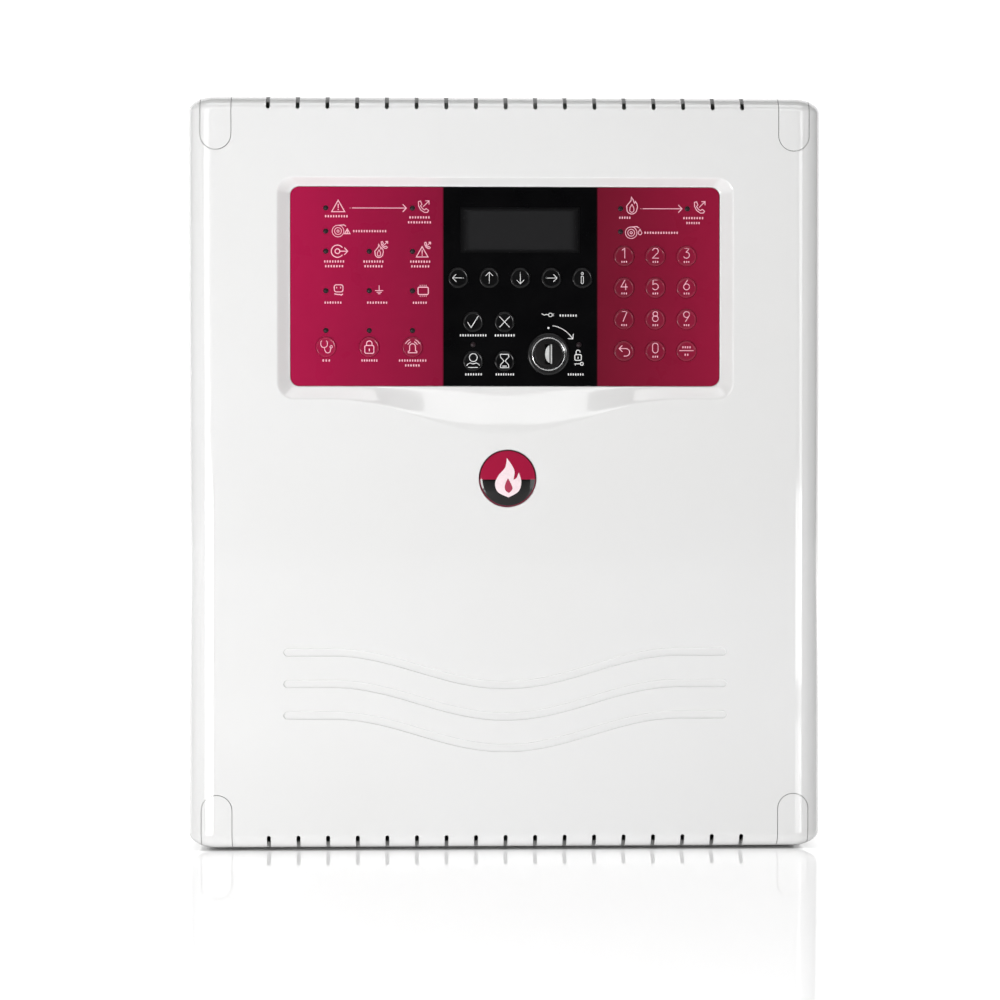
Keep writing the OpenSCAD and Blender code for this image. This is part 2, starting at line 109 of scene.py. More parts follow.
KEYS = sorted(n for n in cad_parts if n.startswith("key_"))
LAMPS = [(x, z) for x in (-91, -69, -47.1) for z in (112.3, 92.3, 72.2)]
LAMPS += [(-91, 134.2), (-47.1, 134.2), (-91, 122.5), (58.6, 134.2), (92.6, 134.2), (58.6, 122.5)]
LAMPS += [(-16.4, 65.1), (37.4, 65.1)]
LOCK_X, LOCK_Z = centre_xz("lock_plug")
BADGE_X, BADGE_Z = centre_xz("badge")
BADGE_R = (box_mm("badge")[1].x - box_mm("badge")[0].x) / 2


# ---------- camera and stage ----------

def srgb(r, g, b):
    """Colour from 0-255 display values to linear."""
    return tuple((c / 255 / 12.92) if c <= 10 else ((c / 255 + 0.055) / 1.055) ** 2.4 for c in (r, g, b))


def add_object(name, data):
    """New object in the scene, for a mesh, curve, light or camera."""
    made = bpy.data.objects.new(name, data)
    bpy.context.scene.collection.objects.link(made)
    return made


def around(azimuth, elevation, distance):
    """Point round the object: azimuth 0 is straight in front, positive to the right."""
    a, e = math.radians(azimuth), math.radians(elevation)
    return (
        distance * math.sin(a) * math.cos(e),
        -distance * math.cos(a) * math.cos(e),
        distance * math.sin(e),
    )


def make_camera():
    aim, back = Vector((-2.7, -103, -13.8)), Vector(around(-1.9, 1.0, 1505.0))
    camera = add_object("camera", bpy.data.cameras.new("camera"))
    camera.data.lens = 106.6
    camera.data.sensor_width = 36
    camera.location = (aim + back) * MM
    camera.rotation_euler = (-back).to_track_quat("-Z", "Y").to_euler()
    bpy.context.scene.camera = camera


def area_light(name, place, size, power):
    """Softbox at place, in metres, turned to the middle of the panel."""
    light = bpy.data.lights.new(name, "AREA")
    light.shape = "RECTANGLE"
    light.size, light.size_y = size
    light.energy = power
    lamp = add_object(name, light)
    lamp.location = place
    lamp.rotation_euler = (Vector((0, -0.1, 0)) - Vector(place)).to_track_quat("-Z", "Y").to_euler()


def make_light():
    world = bpy.data.worlds.new("studio")
    world.use_nodes = True
    background = world.node_tree.nodes["Background"]
    background.inputs["Color"].default_value = (1, 1, 1, 1)
    background.inputs["Strength"].default_value = 0.12
    bpy.context.scene.world = world
    area_light("softbox_top", around(0, 32, 1.9), (2.2, 0.42), 5.0)
    area_light("softbox_high", around(0, 70, 1.8), (1.8, 0.6), 6.6)
    area_light("softbox_low_left", (-0.52, -0.95, -0.1), (0.4, 0.16), 4.3)
    area_light("softbox_low_right", (0.52, -0.95, -0.1), (0.4, 0.16), 0.6)
    area_light("strip_left", around(-33, 4, 2.0), (0.5, 1.0), 3.6)
    area_light("strip_right", around(32, 9, 2.0), (0.28, 1.0), 1.8)


# ---------- node materials ----------

class Paint:
    """A procedural material, built up on one Principled shader."""

    def __init__(self, name, colour, roughness=0.5, metallic=0.0, **sockets):
        self.material = bpy.data.materials.new(name)
        self.material.use_nodes = True
        self.tree = self.material.node_tree
        self.shader = self.tree.nodes["Principled BSDF"]
        self.shader.inputs["Base Color"].default_value = (*colour, 1)
        self.shader.inputs["Roughness"].default_value = roughness
        self.shader.inputs["Metallic"].default_value = metallic
        for key, value in sockets.items():
            self.shader.inputs[key.replace("_", " ")].default_value = value
        self.place = self.node("ShaderNodeTexCoord").outputs["Object"]

    def node(self, kind, links=None, **settings):
        made = self.tree.nodes.new(kind)
        for key, value in settings.items():
            if key in made.inputs:
                made.inputs[key].default_value = value
            else:
                setattr(made, key, value)
        for key, source in (links or {}).items():
            self.tree.links.new(source, made.inputs[key])
        return made

    def link(self, source, socket):
        self.tree.links.new(source, self.shader.inputs[socket])

    def noise(self, scale, detail=3.0):
        """Noise from 0 to 1, with scale in cycles per metre."""
        return self.node("ShaderNodeTexNoise", {"Vector": self.place}, Scale=scale, Detail=detail).outputs["Fac"]

    def axis(self, name):
        """One coordinate of the object's own space, in metres."""
        split = self.node("ShaderNodeSeparateXYZ", {"Vector": self.place})
        return split.outputs[name]

    def span(self, value, low, high, to_low=0.0, to_high=1.0):
        made = self.node("ShaderNodeMapRange", {"Value": value})
        for key, number in zip(("From Min", "From Max", "To Min", "To Max"), (low, high, to_low, to_high)):
            made.inputs[key].default_value = number
        return made.outputs["Result"]

    def feed(self, socket, value):
        """Sets a socket to a number or a colour, or links it to another socket."""
        if isinstance(value, bpy.types.NodeSocket):
            self.tree.links.new(value, socket)
        else:
            socket.default_value = (*value, 1) if isinstance(value, tuple) else value

    def maths(self, operation, a, b=0.0):
        made = self.node("ShaderNodeMath", operation=operation)
        self.feed(made.inputs[0], a)
        self.feed(made.inputs[1], b)
        return made.outputs[0]

    def mix(self, factor, a, b, blend="MIX"):
        """Colour a where factor is 0 and b where it is 1. Each is a colour or a socket."""
        made = self.node("ShaderNodeMix", data_type="RGBA", blend_type=blend)
        for index, value in zip((0, 6, 7), (factor, a, b)):
            self.feed(made.inputs[index], value)
        return made.outputs[2]

    def ramp(self, value, stops):
        """Colour by value: stops are (position, linear colour)."""
        made = self.node("ShaderNodeValToRGB", {"Fac": value})
        elements = made.color_ramp.elements
        while len(elements) < len(stops):
            elements.new(0.5)
        for element, (position, colour) in zip(elements, stops):
            element.position = position
            element.color = (*colour, 1)
        return made.outputs["Color"]

    def bump(self, height, strength, distance):
        made = self.node("ShaderNodeBump", {"Height": height}, Strength=strength, Distance=distance)
        self.link(made.outputs["Normal"], "Normal")
        return self

    def vary(self, colour, scale, amount):
        """Uneven colour: the base darkens by up to amount in soft patches."""
        dark = tuple(c * (1 - amount) for c in colour)
        self.link(self.mix(self.noise(scale), colour, dark), "Base Color")
        return self

    def rough(self, scale, low, high):
        self.link(self.span(self.noise(scale), 0.3, 0.7, low, high), "Roughness")
        return self


def plastic(name, colour, low, high, grain=900, strength=0.08, amount=0.03, **sockets):
    """Moulded plastic: fine grain, patchy gloss and slightly uneven colour."""
    paint = Paint(name, colour, high, **sockets)
    paint.vary(colour, 14, amount).rough(35, low, high)
    return paint.bump(paint.noise(grain, 2), strength, 0.00005)


def metal(name, colour, low, high, stretch=(1, 1, 1), grain=1500):
    """Metal with brushed or tumbled grain, and roughness that follows it."""
    paint = Paint(name, colour, high, 1.0)
    scaled = paint.node("ShaderNodeMapping", {"Vector": paint.place})
    scaled.inputs["Scale"].default_value = stretch
    grain_noise = paint.node("ShaderNodeTexNoise", {"Vector": scaled.outputs["Vector"]}, Scale=grain, Detail=3.0)
    paint.link(paint.span(grain_noise.outputs["Fac"], 0.3, 0.7, low, high), "Roughness")
    paint.vary(colour, 60, 0.12)
    return paint.bump(grain_noise.outputs["Fac"], 0.1, 0.00003)


def white_abs(name):
    """Glossy white moulding with a faint long-wave unevenness in its surface."""
    colour = (0.77, 0.77, 0.768)
    paint = Paint(name, colour, 0.1, Specular_IOR_Level=0.55, Coat_Weight=1.0, Coat_Roughness=0.04)
    warm = tuple(c * k for c, k in zip(colour, (0.985, 0.983, 0.978)))
    paint.link(paint.mix(paint.span(paint.noise(6, 2), 0.35, 0.65), colour, warm), "Base Color")
    paint.rough(28, 0.07, 0.12)
    waves = paint.maths("ADD", paint.noise(55, 2), paint.maths("MULTIPLY", paint.noise(1400, 2), 0.06))
    return paint.bump(waves, 0.08, 0.0001)


def fascia_print(name, roughness, gloss, strength):
    """Crimson film with a black field in the middle, by place across the panel. The crimson is painted lighter
    towards the panel's outer ends and darker beside the black field: a painted sheen and painted shade. The keys use
    this film too.
    """
    # left and right carry a painted sheen on the crimson; inner and right_inner carry painted shade next to the black
    # field
    black, left, inner = srgb(4, 4, 5), srgb(160, 22, 66), srgb(127, 20, 51)
    right_inner, right = srgb(106, 20, 40), srgb(139, 23, 54)
    paint = Paint(name, left, roughness, Specular_IOR_Level=gloss)
    half, edge = 108, 0.0006
    across = paint.span(paint.axis("X"), -half * MM, half * MM)
    dark_from, dark_to = ((x + half) / (2 * half) for x in (BLACK_FROM, BLACK_TO))
    colour = paint.ramp(across, [
        (0.0, left), (dark_from - edge, inner), (dark_from + edge, black),
        (dark_to - edge, black), (dark_to + edge, right_inner), (1.0, right),
    ])
    mottle = paint.mix(paint.span(paint.noise(20), 0.4, 0.7), (1.0, 1.0, 1.0), (0.96, 0.96, 0.96))
    paint.link(paint.mix(1.0, colour, mottle, "MULTIPLY"), "Base Color")
    paint.rough(60, roughness - 0.05, roughness + 0.08)
    return paint.bump(paint.noise(2600, 2), strength, 0.00003)


def ink(name, colour):
    """Screen ink: slightly uneven cover and a matt tooth."""
    paint = Paint(name, colour, 0.55)
    paint.vary(colour, 900, 0.22).rough(400, 0.42, 0.6)
    return paint.bump(paint.noise(6000, 2), 0.15, 0.00002)


def display_glass(name):
    """Tinted window: darker in a band round its edge, where the display's bezel shows through."""
    low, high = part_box("display_window")
    centre, half = (low + high) / 2, (high - low) / 2
    paint = Paint(name, srgb(36, 36, 37), 0.12, Specular_IOR_Level=0.3)
    inset = []
    for axis, middle, reach, band in (("X", centre.x, half.x, 0.005), ("Z", centre.z, half.z, 0.0024)):
        offset = paint.maths("ABSOLUTE", paint.maths("SUBTRACT", paint.axis(axis), middle))
        inset.append(paint.span(offset, reach - band, reach - 0.0008))
    edge = paint.maths("MAXIMUM", inset[0], inset[1])
    paint.link(paint.mix(edge, srgb(32, 32, 33), srgb(10, 10, 11)), "Base Color")
    paint.rough(50, 0.08, 0.16)
    return paint.bump(paint.noise(3000, 2), 0.03, 0.00002)


def badge_print(name):
    """Two-tone disc with a crimson rim, printed under a clear dome."""
    paint = Paint(name, srgb(169, 38, 73), 0.1, Specular_IOR_Level=0.1, Coat_Weight=0.6, Coat_Roughness=0.02)
    height = paint.maths("SUBTRACT", paint.axis("Z"), BADGE_Z * MM)
    across = paint.maths("SUBTRACT", paint.axis("X"), BADGE_X * MM)
    square = paint.maths("ADD", paint.maths("MULTIPLY", height, height), paint.maths("MULTIPLY", across, across))
    radius = paint.maths("SQRT", square)
    top = paint.span(height, -0.0006, -0.0004)
    rim = paint.span(radius, (BADGE_R - 0.75) * MM, (BADGE_R - 0.55) * MM)
    field = paint.mix(top, srgb(15, 14, 15), srgb(156, 22, 58))
    edge = paint.mix(top, srgb(120, 30, 55), srgb(80, 16, 34))
    paint.link(paint.mix(rim, field, edge), "Base Color")
    paint.rough(300, 0.08, 0.14)
    return paint.bump(paint.noise(1200, 2), 0.02, 0.00002)


def circuit_board(name):
    """Green solder mask over copper tracks that run level in some areas and upright in others, with tinned vias."""
    mask, track = (0.006, 0.085, 0.030), (0.018, 0.165, 0.058)
    paint = Paint(name, mask, 0.3, Coat_Weight=0.3, Coat_Roughness=0.12)
    tracks = []
    for turn in ((math.pi / 2, 0, 0), (math.pi / 2, 0, math.pi / 2)):
        flat = paint.node("ShaderNodeMapping", {"Vector": paint.place}, Rotation=turn)
        bricks = paint.node("ShaderNodeTexBrick", {"Vector": flat.outputs["Vector"]}, **{
            "Scale": 1.0, "Mortar Size": 0.00035, "Mortar Smooth": 0.1, "Brick Width": 0.019, "Row Height": 0.0017,
        })
        tracks.append(bricks.outputs["Fac"])
    area = paint.span(paint.noise(16, 0), 0.49, 0.51)
    copper = paint.maths("ADD", paint.maths("MULTIPLY", tracks[0], area),
                         paint.maths("MULTIPLY", tracks[1], paint.maths("SUBTRACT", 1.0, area)))
    cells = paint.node("ShaderNodeTexVoronoi", {"Vector": paint.place}, Scale=150.0)
    via = paint.span(cells.outputs["Distance"], 0.11, 0.09)
    colour = paint.mix(copper, mask, track)
    paint.link(paint.mix(via, colour, (0.6, 0.6, 0.58)), "Base Color")
    paint.link(via, "Metallic")
    paint.rough(40, 0.24, 0.4)
    return paint.bump(copper, 0.4, 0.00004)


def ribbon_paint(name):
    """Grey flat cable with a red first wire."""
    grey, red = srgb(158, 160, 164), srgb(170, 36, 32)
    paint = Paint(name, grey, 0.45)
    first = paint.span(paint.axis("Z"), (RIBBON_LOW + 1.25) * MM, (RIBBON_LOW + 1.35) * MM)
    shade = paint.mix(paint.noise(30), grey, tuple(c * 0.88 for c in grey))
    paint.link(paint.mix(first, red, shade), "Base Color")
    paint.rough(60, 0.38, 0.52)
    return paint.bump(paint.noise(1800, 2), 0.1, 0.00004)


def stage_paint():
    paint = Paint("stage_floor", (0.9, 0.9, 0.9), 0.1, Specular_IOR_Level=0.5)
    paint.vary((0.93, 0.93, 0.93), 3, 0.02).rough(8, 0.03, 0.05)
    paint.shader.inputs["Emission Color"].default_value = (1, 1, 1, 1)
    # The floor glows, weakly near the case and more strongly further back. Its glow is cut out over the case's
    # footprint, so the floor under the case stays dark: a painted contact shadow.
    beside = paint.span(paint.maths("ABSOLUTE", paint.axis("X")), 0.155, 0.175)
    ahead = paint.span(paint.axis("Y"), -0.098, -0.104)
    behind = paint.span(paint.axis("Y"), 0.02, 0.1)
    clear = paint.maths("MAXIMUM", beside, paint.maths("MAXIMUM", ahead, behind))
    glow = paint.span(paint.axis("Y"), 0.5, 1.6, 0.3, 1.0)
    paint.link(paint.maths("MULTIPLY", glow, clear), "Emission Strength")
    return paint


PAINT = {
    "cover_white": white_abs("cover_white"),
    "housing_white": white_abs("housing_white"),
    "fascia": fascia_print("fascia_film", 0.3, 0.05, 0.05),
    "key": fascia_print("key_film", 0.16, 0.3, 0.04),
    "ink_pink": ink("ink_pink", srgb(247, 186, 203)),
    "ink_white": ink("ink_white", srgb(232, 232, 232)),
    "ink_pale": ink("ink_pale", srgb(247, 226, 231)),
    "ink_crimson": ink("ink_crimson", srgb(168, 30, 70)),
    "window": display_glass("window_tint"),
    "badge": badge_print("badge_dome"),
    "lamp": plastic("lamp_lens", srgb(30, 16, 21), 0.3, 0.42, amount=0.2, Specular_IOR_Level=0.25),
    "lock_black": plastic("lock_black", srgb(15, 15, 16), 0.16, 0.26, 2500, 0.1, Specular_IOR_Level=0.3),
    "plug_black": plastic("plug_black", srgb(17, 15, 15), 0.3, 0.5, 1800, 0.5, 0.4, Specular_IOR_Level=0.2),
    "shutter": metal("shutter_steel", (0.86, 0.86, 0.85), 0.3, 0.5),
    "chrome": metal("bright_chrome", (0.88, 0.88, 0.88), 0.05, 0.14),
    "steel": metal("screw_steel", (0.62, 0.62, 0.64), 0.22, 0.4),
    "pin_steel": metal("pin_steel", (0.6, 0.6, 0.62), 0.2, 0.35, (1, 1, 0.1)),
    "stage": stage_paint(),
    "board": circuit_board("solder_mask"),
    "ink_dark": ink("ink_dark", srgb(44, 46, 52)),
    "brass": metal("spacer_brass", (0.70, 0.50, 0.20), 0.2, 0.36),
    "tin": metal("tinned_copper", (0.74, 0.74, 0.72), 0.2, 0.36),
    "aluminium": metal("can_aluminium", (0.78, 0.79, 0.80), 0.2, 0.36),
    "cage": metal("cage_metal", (0.60, 0.61, 0.62), 0.3, 0.46, (1, 1, 0.06), 900),
    "green": plastic("terminal_green", srgb(54, 148, 84), 0.3, 0.48),
    "blue": plastic("relay_blue", srgb(38, 74, 158), 0.24, 0.4),
    "black": plastic("component_black", srgb(34, 35, 37), 0.36, 0.55, 2200, 0.2),
    "sleeve": plastic("capacitor_sleeve", srgb(24, 30, 56), 0.2, 0.34),
    "ivory": plastic("part_ivory", srgb(226, 220, 200), 0.3, 0.46),
    "yellow": plastic("winding_tape", srgb(216, 166, 44), 0.3, 0.5),
    "battery": plastic("battery_case", srgb(60, 63, 68), 0.42, 0.6, 700, 0.25),
    "label": plastic("label_film", srgb(206, 209, 212), 0.25, 0.4),
    "lead_red": plastic("lead_red", srgb(176, 28, 26), 0.34, 0.5),
    "lead_black": plastic("lead_black", srgb(30, 30, 31), 0.34, 0.5),
    "ribbon": ribbon_paint("ribbon_cable"),
}


# ---------- mesh helpers ----------

def loft(rings):
    """Closed solid through rings of equal length."""
    bm = bmesh.new()
    add_loft(bm, rings)
    return from_bmesh(bm)


def add_loft(bm, rings, closed=False):
    """Adds a solid through rings; closed joins the last ring to the first."""
    made = [[bm.verts.new(p) for p in ring] for ring in rings]
    for a, b in zip(made, made[1:] + made[:1] if closed else made[1:]):
        for i in range(len(a)):
            j = (i + 1) % len(a)
            bm.faces.new((a[i], a[j], b[j], b[i]))
    if not closed:
        bm.faces.new(made[0])
        bm.faces.new(made[-1])


def from_bmesh(bm, name="tool"):
    """Object in metres from a bmesh in millimetres."""
    bmesh.ops.remove_doubles(bm, verts=bm.verts, dist=1e-4)
    bmesh.ops.recalc_face_normals(bm, faces=bm.faces)
    bmesh.ops.scale(bm, vec=(MM, MM, MM), verts=bm.verts)
    mesh = bpy.data.meshes.new(name)
    bm.to_mesh(mesh)
    bm.free()
    return add_object(name, mesh)


def prism(outline, near, far):
    """Solid of an (x, z) outline from depth near back to far."""
    return loft([[(x, y, z) for x, z in outline] for y in (near, far)])


def circle(a, b, radius, steps):
    return [(a + radius * math.cos(math.tau * i / steps), b + radius * math.sin(math.tau * i / steps))
            for i in range(steps)]


def turned(profile, x, z, steps=48):
    """Solid of revolution about an axis along Y through (x, z): profile is (radius, y), open at the axis."""
    bm = bmesh.new()
    add_turned(bm, profile, x, z, steps)
    return from_bmesh(bm)


def add_turned(bm, profile, x, z, steps):
    add_loft(bm, [[(px, y, pz) for px, pz in circle(x, z, radius, steps)] for radius, y in profile])


def rod(x, z, radius, near, far, steps=40):
    return turned([(radius, near), (radius, far)], x, z, steps)


def rods(places, radius, near, far):
    return [rod(x, z, radius, near, far) for x, z in places]


def rod_z(x, y, z, radius, length):
    return loft([[(px, py, end) for px, py in circle(x, y, radius, 32)] for end in (z - length / 2, z + length / 2)])


def hinge_rods(radius, length):
    return [rod_z(HINGE_X, HINGE_Y, z, radius, length) for z in HINGE_ZS]


def arc(cx, cz, rx, rz, start, end, steps):
    """Points along an elliptical arc, both ends included, in degrees."""
    turns = (math.radians(start + (end - start) * i / steps) for i in range(steps + 1))
    return [(cx + rx * math.cos(a), cz + rz * math.sin(a)) for a in turns]


def rounded(cx, cz, width, height, rx, rz=None, steps=8):
    """Anticlockwise rounded rectangle."""
    rz = rx if rz is None else rz
    x, z = width / 2 - rx, height / 2 - rz
    points = arc(cx + x, cz + z, rx, rz, 0, 90, steps)
    points += arc(cx - x, cz + z, rx, rz, 90, 180, steps)
    points += arc(cx - x, cz - z, rx, rz, 180, 270, steps)
    return points + arc(cx + x, cz - z, rx, rz, 270, 360, steps)


def corners(low, high):
    return [(low[0], low[2]), (high[0], low[2]), (high[0], high[2]), (low[0], high[2])]


def block(low, high, radius=0.0):
    """Box from low to high, its edges along Y rounded when radius is given."""
    outline = corners(low, high)
    if radius:
        cx, cz = (low[0] + high[0]) / 2, (low[2] + high[2]) / 2
        outline = rounded(cx, cz, high[0] - low[0], high[2] - low[2], radius, steps=5)
    return prism(outline, low[1], high[1])


def boolean(target, operation, *tools):
    for tool in tools:
        modifier = target.modifiers.new("shape", "BOOLEAN")
        modifier.object = tool
        modifier.operation = operation
        modifier.solver = "MANIFOLD"
    bake(target)
    for tool in tools:
        bpy.data.objects.remove(tool)
    return target


def cut(target, *tools):
    return boolean(target, "DIFFERENCE", *tools)


def fuse(target, *tools):
    return boolean(target, "UNION", *tools)


def common(target, tool):
    return boolean(target, "INTERSECT", tool)


def bake(target):
    """Applies every modifier of target to its mesh."""
    graph = bpy.context.evaluated_depsgraph_get()
    mesh = bpy.data.meshes.new_from_object(target.evaluated_get(graph))
    target.modifiers.clear()
    target.data = mesh


def dress(piece, name, paint, angle=35, weighted=True):
    """Names, shades and paints a finished shape."""
    piece.name = name
    piece.data.name = name
    piece.data.shade_smooth()
    piece.data.set_sharp_from_angle(angle=math.radians(angle))
    if weighted:
        modifier = piece.modifiers.new("normals", "WEIGHTED_NORMAL")
        modifier.keep_sharp = True
        bake(piece)
    piece.data.materials.clear()
    piece.data.materials.append(PAINT[paint].material)
    return piece


def finish_piece(piece, name, body, paint, angle=35, weighted=True):
    """Dresses a finished shape and lets it ride on its body."""
    dress(piece, name, paint, angle, weighted)
    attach(piece, body)
    return piece


def wave(x):
    """Height of the wave, 1 in the middle and 0 past its reach."""
    return (1 + math.cos(math.pi * x / WAVE_REACH)) / 2 if abs(x) < WAVE_REACH else 0.0


# ---------- case forms ----------

def case_ring(inset, y, turn=90.0):
    """The case's outline at depth y. turn is how far round the shoulder it lies, 0 at the front."""
    lean = math.sin(math.radians(turn))
    rx, rz = SHOULDER.x - inset, SHOULDER.z - inset
    half_x = CASE_X - inset - rx * (1 - lean)
    half_z = CASE_Z - inset - rz * (1 - lean)
    rx, rz = max(rx * lean, 0.02), max(rz * lean, 0.02)
    return [(x, y, z) for x, z in rounded(0, 0, 2 * half_x, 2 * half_z, rx, rz, 10)]


def case_form(inset, back, relief=0.0):
    """The cover's rounded outer form, drawn inwards by inset. relief rounds its back edge."""
    rings = []
    for turn in (90 * i / 12 for i in range(13)):
        depth = (SHOULDER.y - inset) * (1 - math.cos(math.radians(turn)))
        rings.append(case_ring(inset, FRONT + inset + depth, turn))
    for grow, rise in ((0, 1), (0.3, 0.3), (1, 0)) if relief else ((0, 0),):
        rings.append(case_ring(inset + relief * grow, back - relief * rise))
    return loft(rings)


def tongue(sx, sz, grow):
    """Corner cap's outline: a half circle that runs out over the top or bottom edge."""
    radius = CAP_R + grow
    end = CASE_Z + 2
    points = arc(sx * CAP_X, CAP_END, radius, radius, 180, 360, 20)
    points += [(sx * CAP_X + radius, end), (sx * CAP_X - radius, end)]
    return [(x, sz * z) for x, z in points]


def wave_ring(t, y):
    """The fascia recess's outline, from its sunk edge at t = 0 to its rim at t = 1."""
    half = PANEL_W / 2 + 0.3 + 6.3 * t
    low = PANEL_LOW.z - 0.3 - 6.4 * t
    high = PANEL_HIGH.z + 0.3 + 4.3 * t
    radius = 4.7 + 3.3 * t
    steps = 96
    points = arc(radius - half, high - radius, radius, radius, 90, 180, 8)
    points += arc(radius - half, low + radius, radius, radius, 180, 270, 8)
    reach = half - radius
    for i in range(1, steps):
        x = reach * (2 * i / steps - 1)
        points.append((x, low - WAVE_DROP * t * wave(x)))
    points += arc(reach, low + radius, radius, radius, 270, 360, 8)
    points += arc(reach, high - radius, radius, radius, 0, 90, 8)
    return [(x, y, z) for x, z in points]


def recess():
    """Everything removed for the sunken fascia and its ramp, with a soft foot and a soft rim."""
    depth = FLOOR - FRONT
    rings = []
    for t, rise in ((0.0, 0.0), (0.05, 0.015), (0.12, 0.07), (0.22, 0.17), (0.5, 0.47), (0.74, 0.735),
                    (0.86, 0.868), (0.94, 0.943), (1.02, 0.992), (1.06, 1.006)):
        rings.append(wave_ring(t, FLOOR - depth * rise))
    rings.append(wave_ring(1.06, FRONT - 2))
    return loft(rings)


def sideways(line):
    """Unit vectors square to a line, one at each of its points."""
    sides = []
    for before, after in zip(line[:1] + line, line[1:] + line[-1:]):
        along = (after - before).normalized()
        sides.append(Vector((-along.y, along.x)))
    return sides


def groove(z):
    """Cutter for one wave groove: rounded floor, soft edges and round ends."""
    width, depth, steps = 4.2, 0.7, 96
    half = 112.5 - width / 2
    xs = [half * (2 * i / steps - 1) for i in range(steps + 1)]
    line = [Vector((x, z - WAVE_DROP * wave(x))) for x in xs]
    sides = sideways(line)
    rings = []
    for part, sink in ((0.4, 1.0), (0.8, 1.0), (0.87, 0.92), (0.95, 0.3), (1.0, 0.06), (1.04, -0.02), (1.04, None)):
        reach = width / 2 * part
        points = [tuple(p + n * reach) for p, n in zip(line, sides)]
        points += arc(half, z, reach, reach, 90, -90, 12)[1:-1]
        points += [tuple(p - n * reach) for p, n in zip(reversed(line), reversed(sides))]
        points += arc(-half, z, reach, reach, 270, 90, 12)[1:-1]
        y = FRONT - 2 if sink is None else FRONT + depth * sink
        rings.append([(px, y, pz) for px, pz in points])
    return loft(rings)


def vents():
    """Cutters for the slots along the top and bottom edges, each with a small chamfer on the front."""
    count, pitch, width, length = 17, 15.0, 2.0, 7.2
    foot = CASE_Z - length + width / 2
    bm = bmesh.new()
    for side in (-1, 1):
        for x in ((i - (count - 1) / 2) * pitch for i in range(count)):
            rings = []
            for grow, y in ((0.3, FRONT - 1), (0.3, FRONT), (0.0, FRONT + 0.3), (0.0, FRONT + SHOULDER.y)):
                radius = width / 2 + grow
                points = arc(x, foot, radius, radius, 180, 360, 8)
                points += [(x + radius, CASE_Z + 3), (x - radius, CASE_Z + 3)]
                rings.append([(px, y, side * pz) for px, pz in points])
            add_loft(bm, rings)
    return from_bmesh(bm)


def knuckles(extra, radius):
    """The housing's two knuckles at each hinge."""
    return [rod_z(HINGE_X, HINGE_Y, z + s * (MID_KNUCKLE + EAR) / 2, radius, EAR + extra)
            for z in HINGE_ZS for s in (-1, 1)]


def make_cover():
    cover = case_form(0, SPLIT - PART_GAP, relief=0.5)
    cut(cover, case_form(WALL, SPLIT + 1))
    bosses = [common(prism(tongue(sx, sz, WALL), FRONT + 0.5, FRONT + CAP_DEPTH + WALL), case_form(WALL / 2, SPLIT))
              for sx, sz in CORNERS.values()]
    tower_r, well_r, hole_r, well_end = 6.1, 4.1, 2.2, SPLIT - 6
    towers = rods(WELLS, tower_r, FRONT + CAP_DEPTH, SPLIT - PART_GAP)
    posts = rods(POSTS, 3.5, TUB - 1, BOARD)
    tub = prism(rounded(0, PANEL_MID - 11, 236, 138, 8), FRONT + WALL / 2, TUB)
    presser = rod(100, 160, 3, FRONT + WALL / 2, SPLIT - 4.3)
    near, far, half = FRONT + 1.5, FRONT + WALL + 4.5, 0.8
    ribs = [block((x - half, near, -CASE_Z), (x + half, far, 20)) for x in (-96, -48, 0, 48, 96)]
    ribs += [block((-CASE_X, near, z - half), (CASE_X, far, z + half)) for z in (-40, -100, -155)]
    ribs = [common(rib, case_form(WALL / 2, SPLIT)) for rib in ribs]
    middles = hinge_rods(KNUCKLE_R, MID_KNUCKLE - 0.2)
    fuse(cover, tub, *bosses, *towers, *posts, presser, *middles, *ribs)
    wells = rods(WELLS, well_r, FRONT - 1, well_end) + rods(WELLS, hole_r, well_end - 1, SPLIT + 1)
    pockets = [prism(tongue(sx, sz, 0), FRONT - 1, FRONT + CAP_DEPTH) for sx, sz in CORNERS.values()]
    bores = rods(POSTS, 1.5, BOARD - 5, BOARD + 1)
    bores += hinge_rods(PIN_R + 0.05, MID_KNUCKLE + 1) + knuckles(0.2, KNUCKLE_R + PART_GAP)
    fit, lip = 0.6, 9
    seat = prism(rounded(0, PANEL_MID, PANEL_W + fit, PANEL_H + fit, 4.7), FLOOR - 0.5, LEDGE)
    opening = prism(rounded(0, PANEL_MID, PANEL_W - lip, PANEL_H - lip, 3), LEDGE - 1, TUB + 1)
    badge_seat = rod(BADGE_X, BADGE_Z, BADGE_R + 0.2, FRONT - 1, FRONT + 1.6, 96)
    grooves = [groove(-90.8 - 16 * i) for i in range(3)]
    cut(cover, recess(), seat, opening, badge_seat, vents(), *grooves, *wells, *pockets, *bores)
    finish_piece(cover, "cover_shell", "cover", "cover_white")
    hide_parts("front_cover")


def make_caps():
    skin, gap = 1.8, 0.3
    for name, (sx, sz) in CORNERS.items():
        cap = common(case_form(0, SPLIT), prism(tongue(sx, sz, -gap), FRONT - 1, FRONT + CAP_DEPTH - 0.3))
        hollow = common(case_form(skin, SPLIT), prism(tongue(sx, sz, -gap - skin), FRONT - 1, FRONT + CAP_DEPTH + 1))
        cut(cap, hollow)
        fuse(cap, rod(sx * CAP_X, sz * WELL_Z, 3.9, FRONT + skin / 2, FRONT + CAP_DEPTH + 4))
        cut(cap, rod(sx * CAP_X, sz * WELL_Z, 2.9, FRONT + skin, FRONT + CAP_DEPTH + 5))
        finish_piece(cap, f"corner_cap_{name}", f"cap_{name}", "cover_white")
        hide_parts(f"cap_{name}")


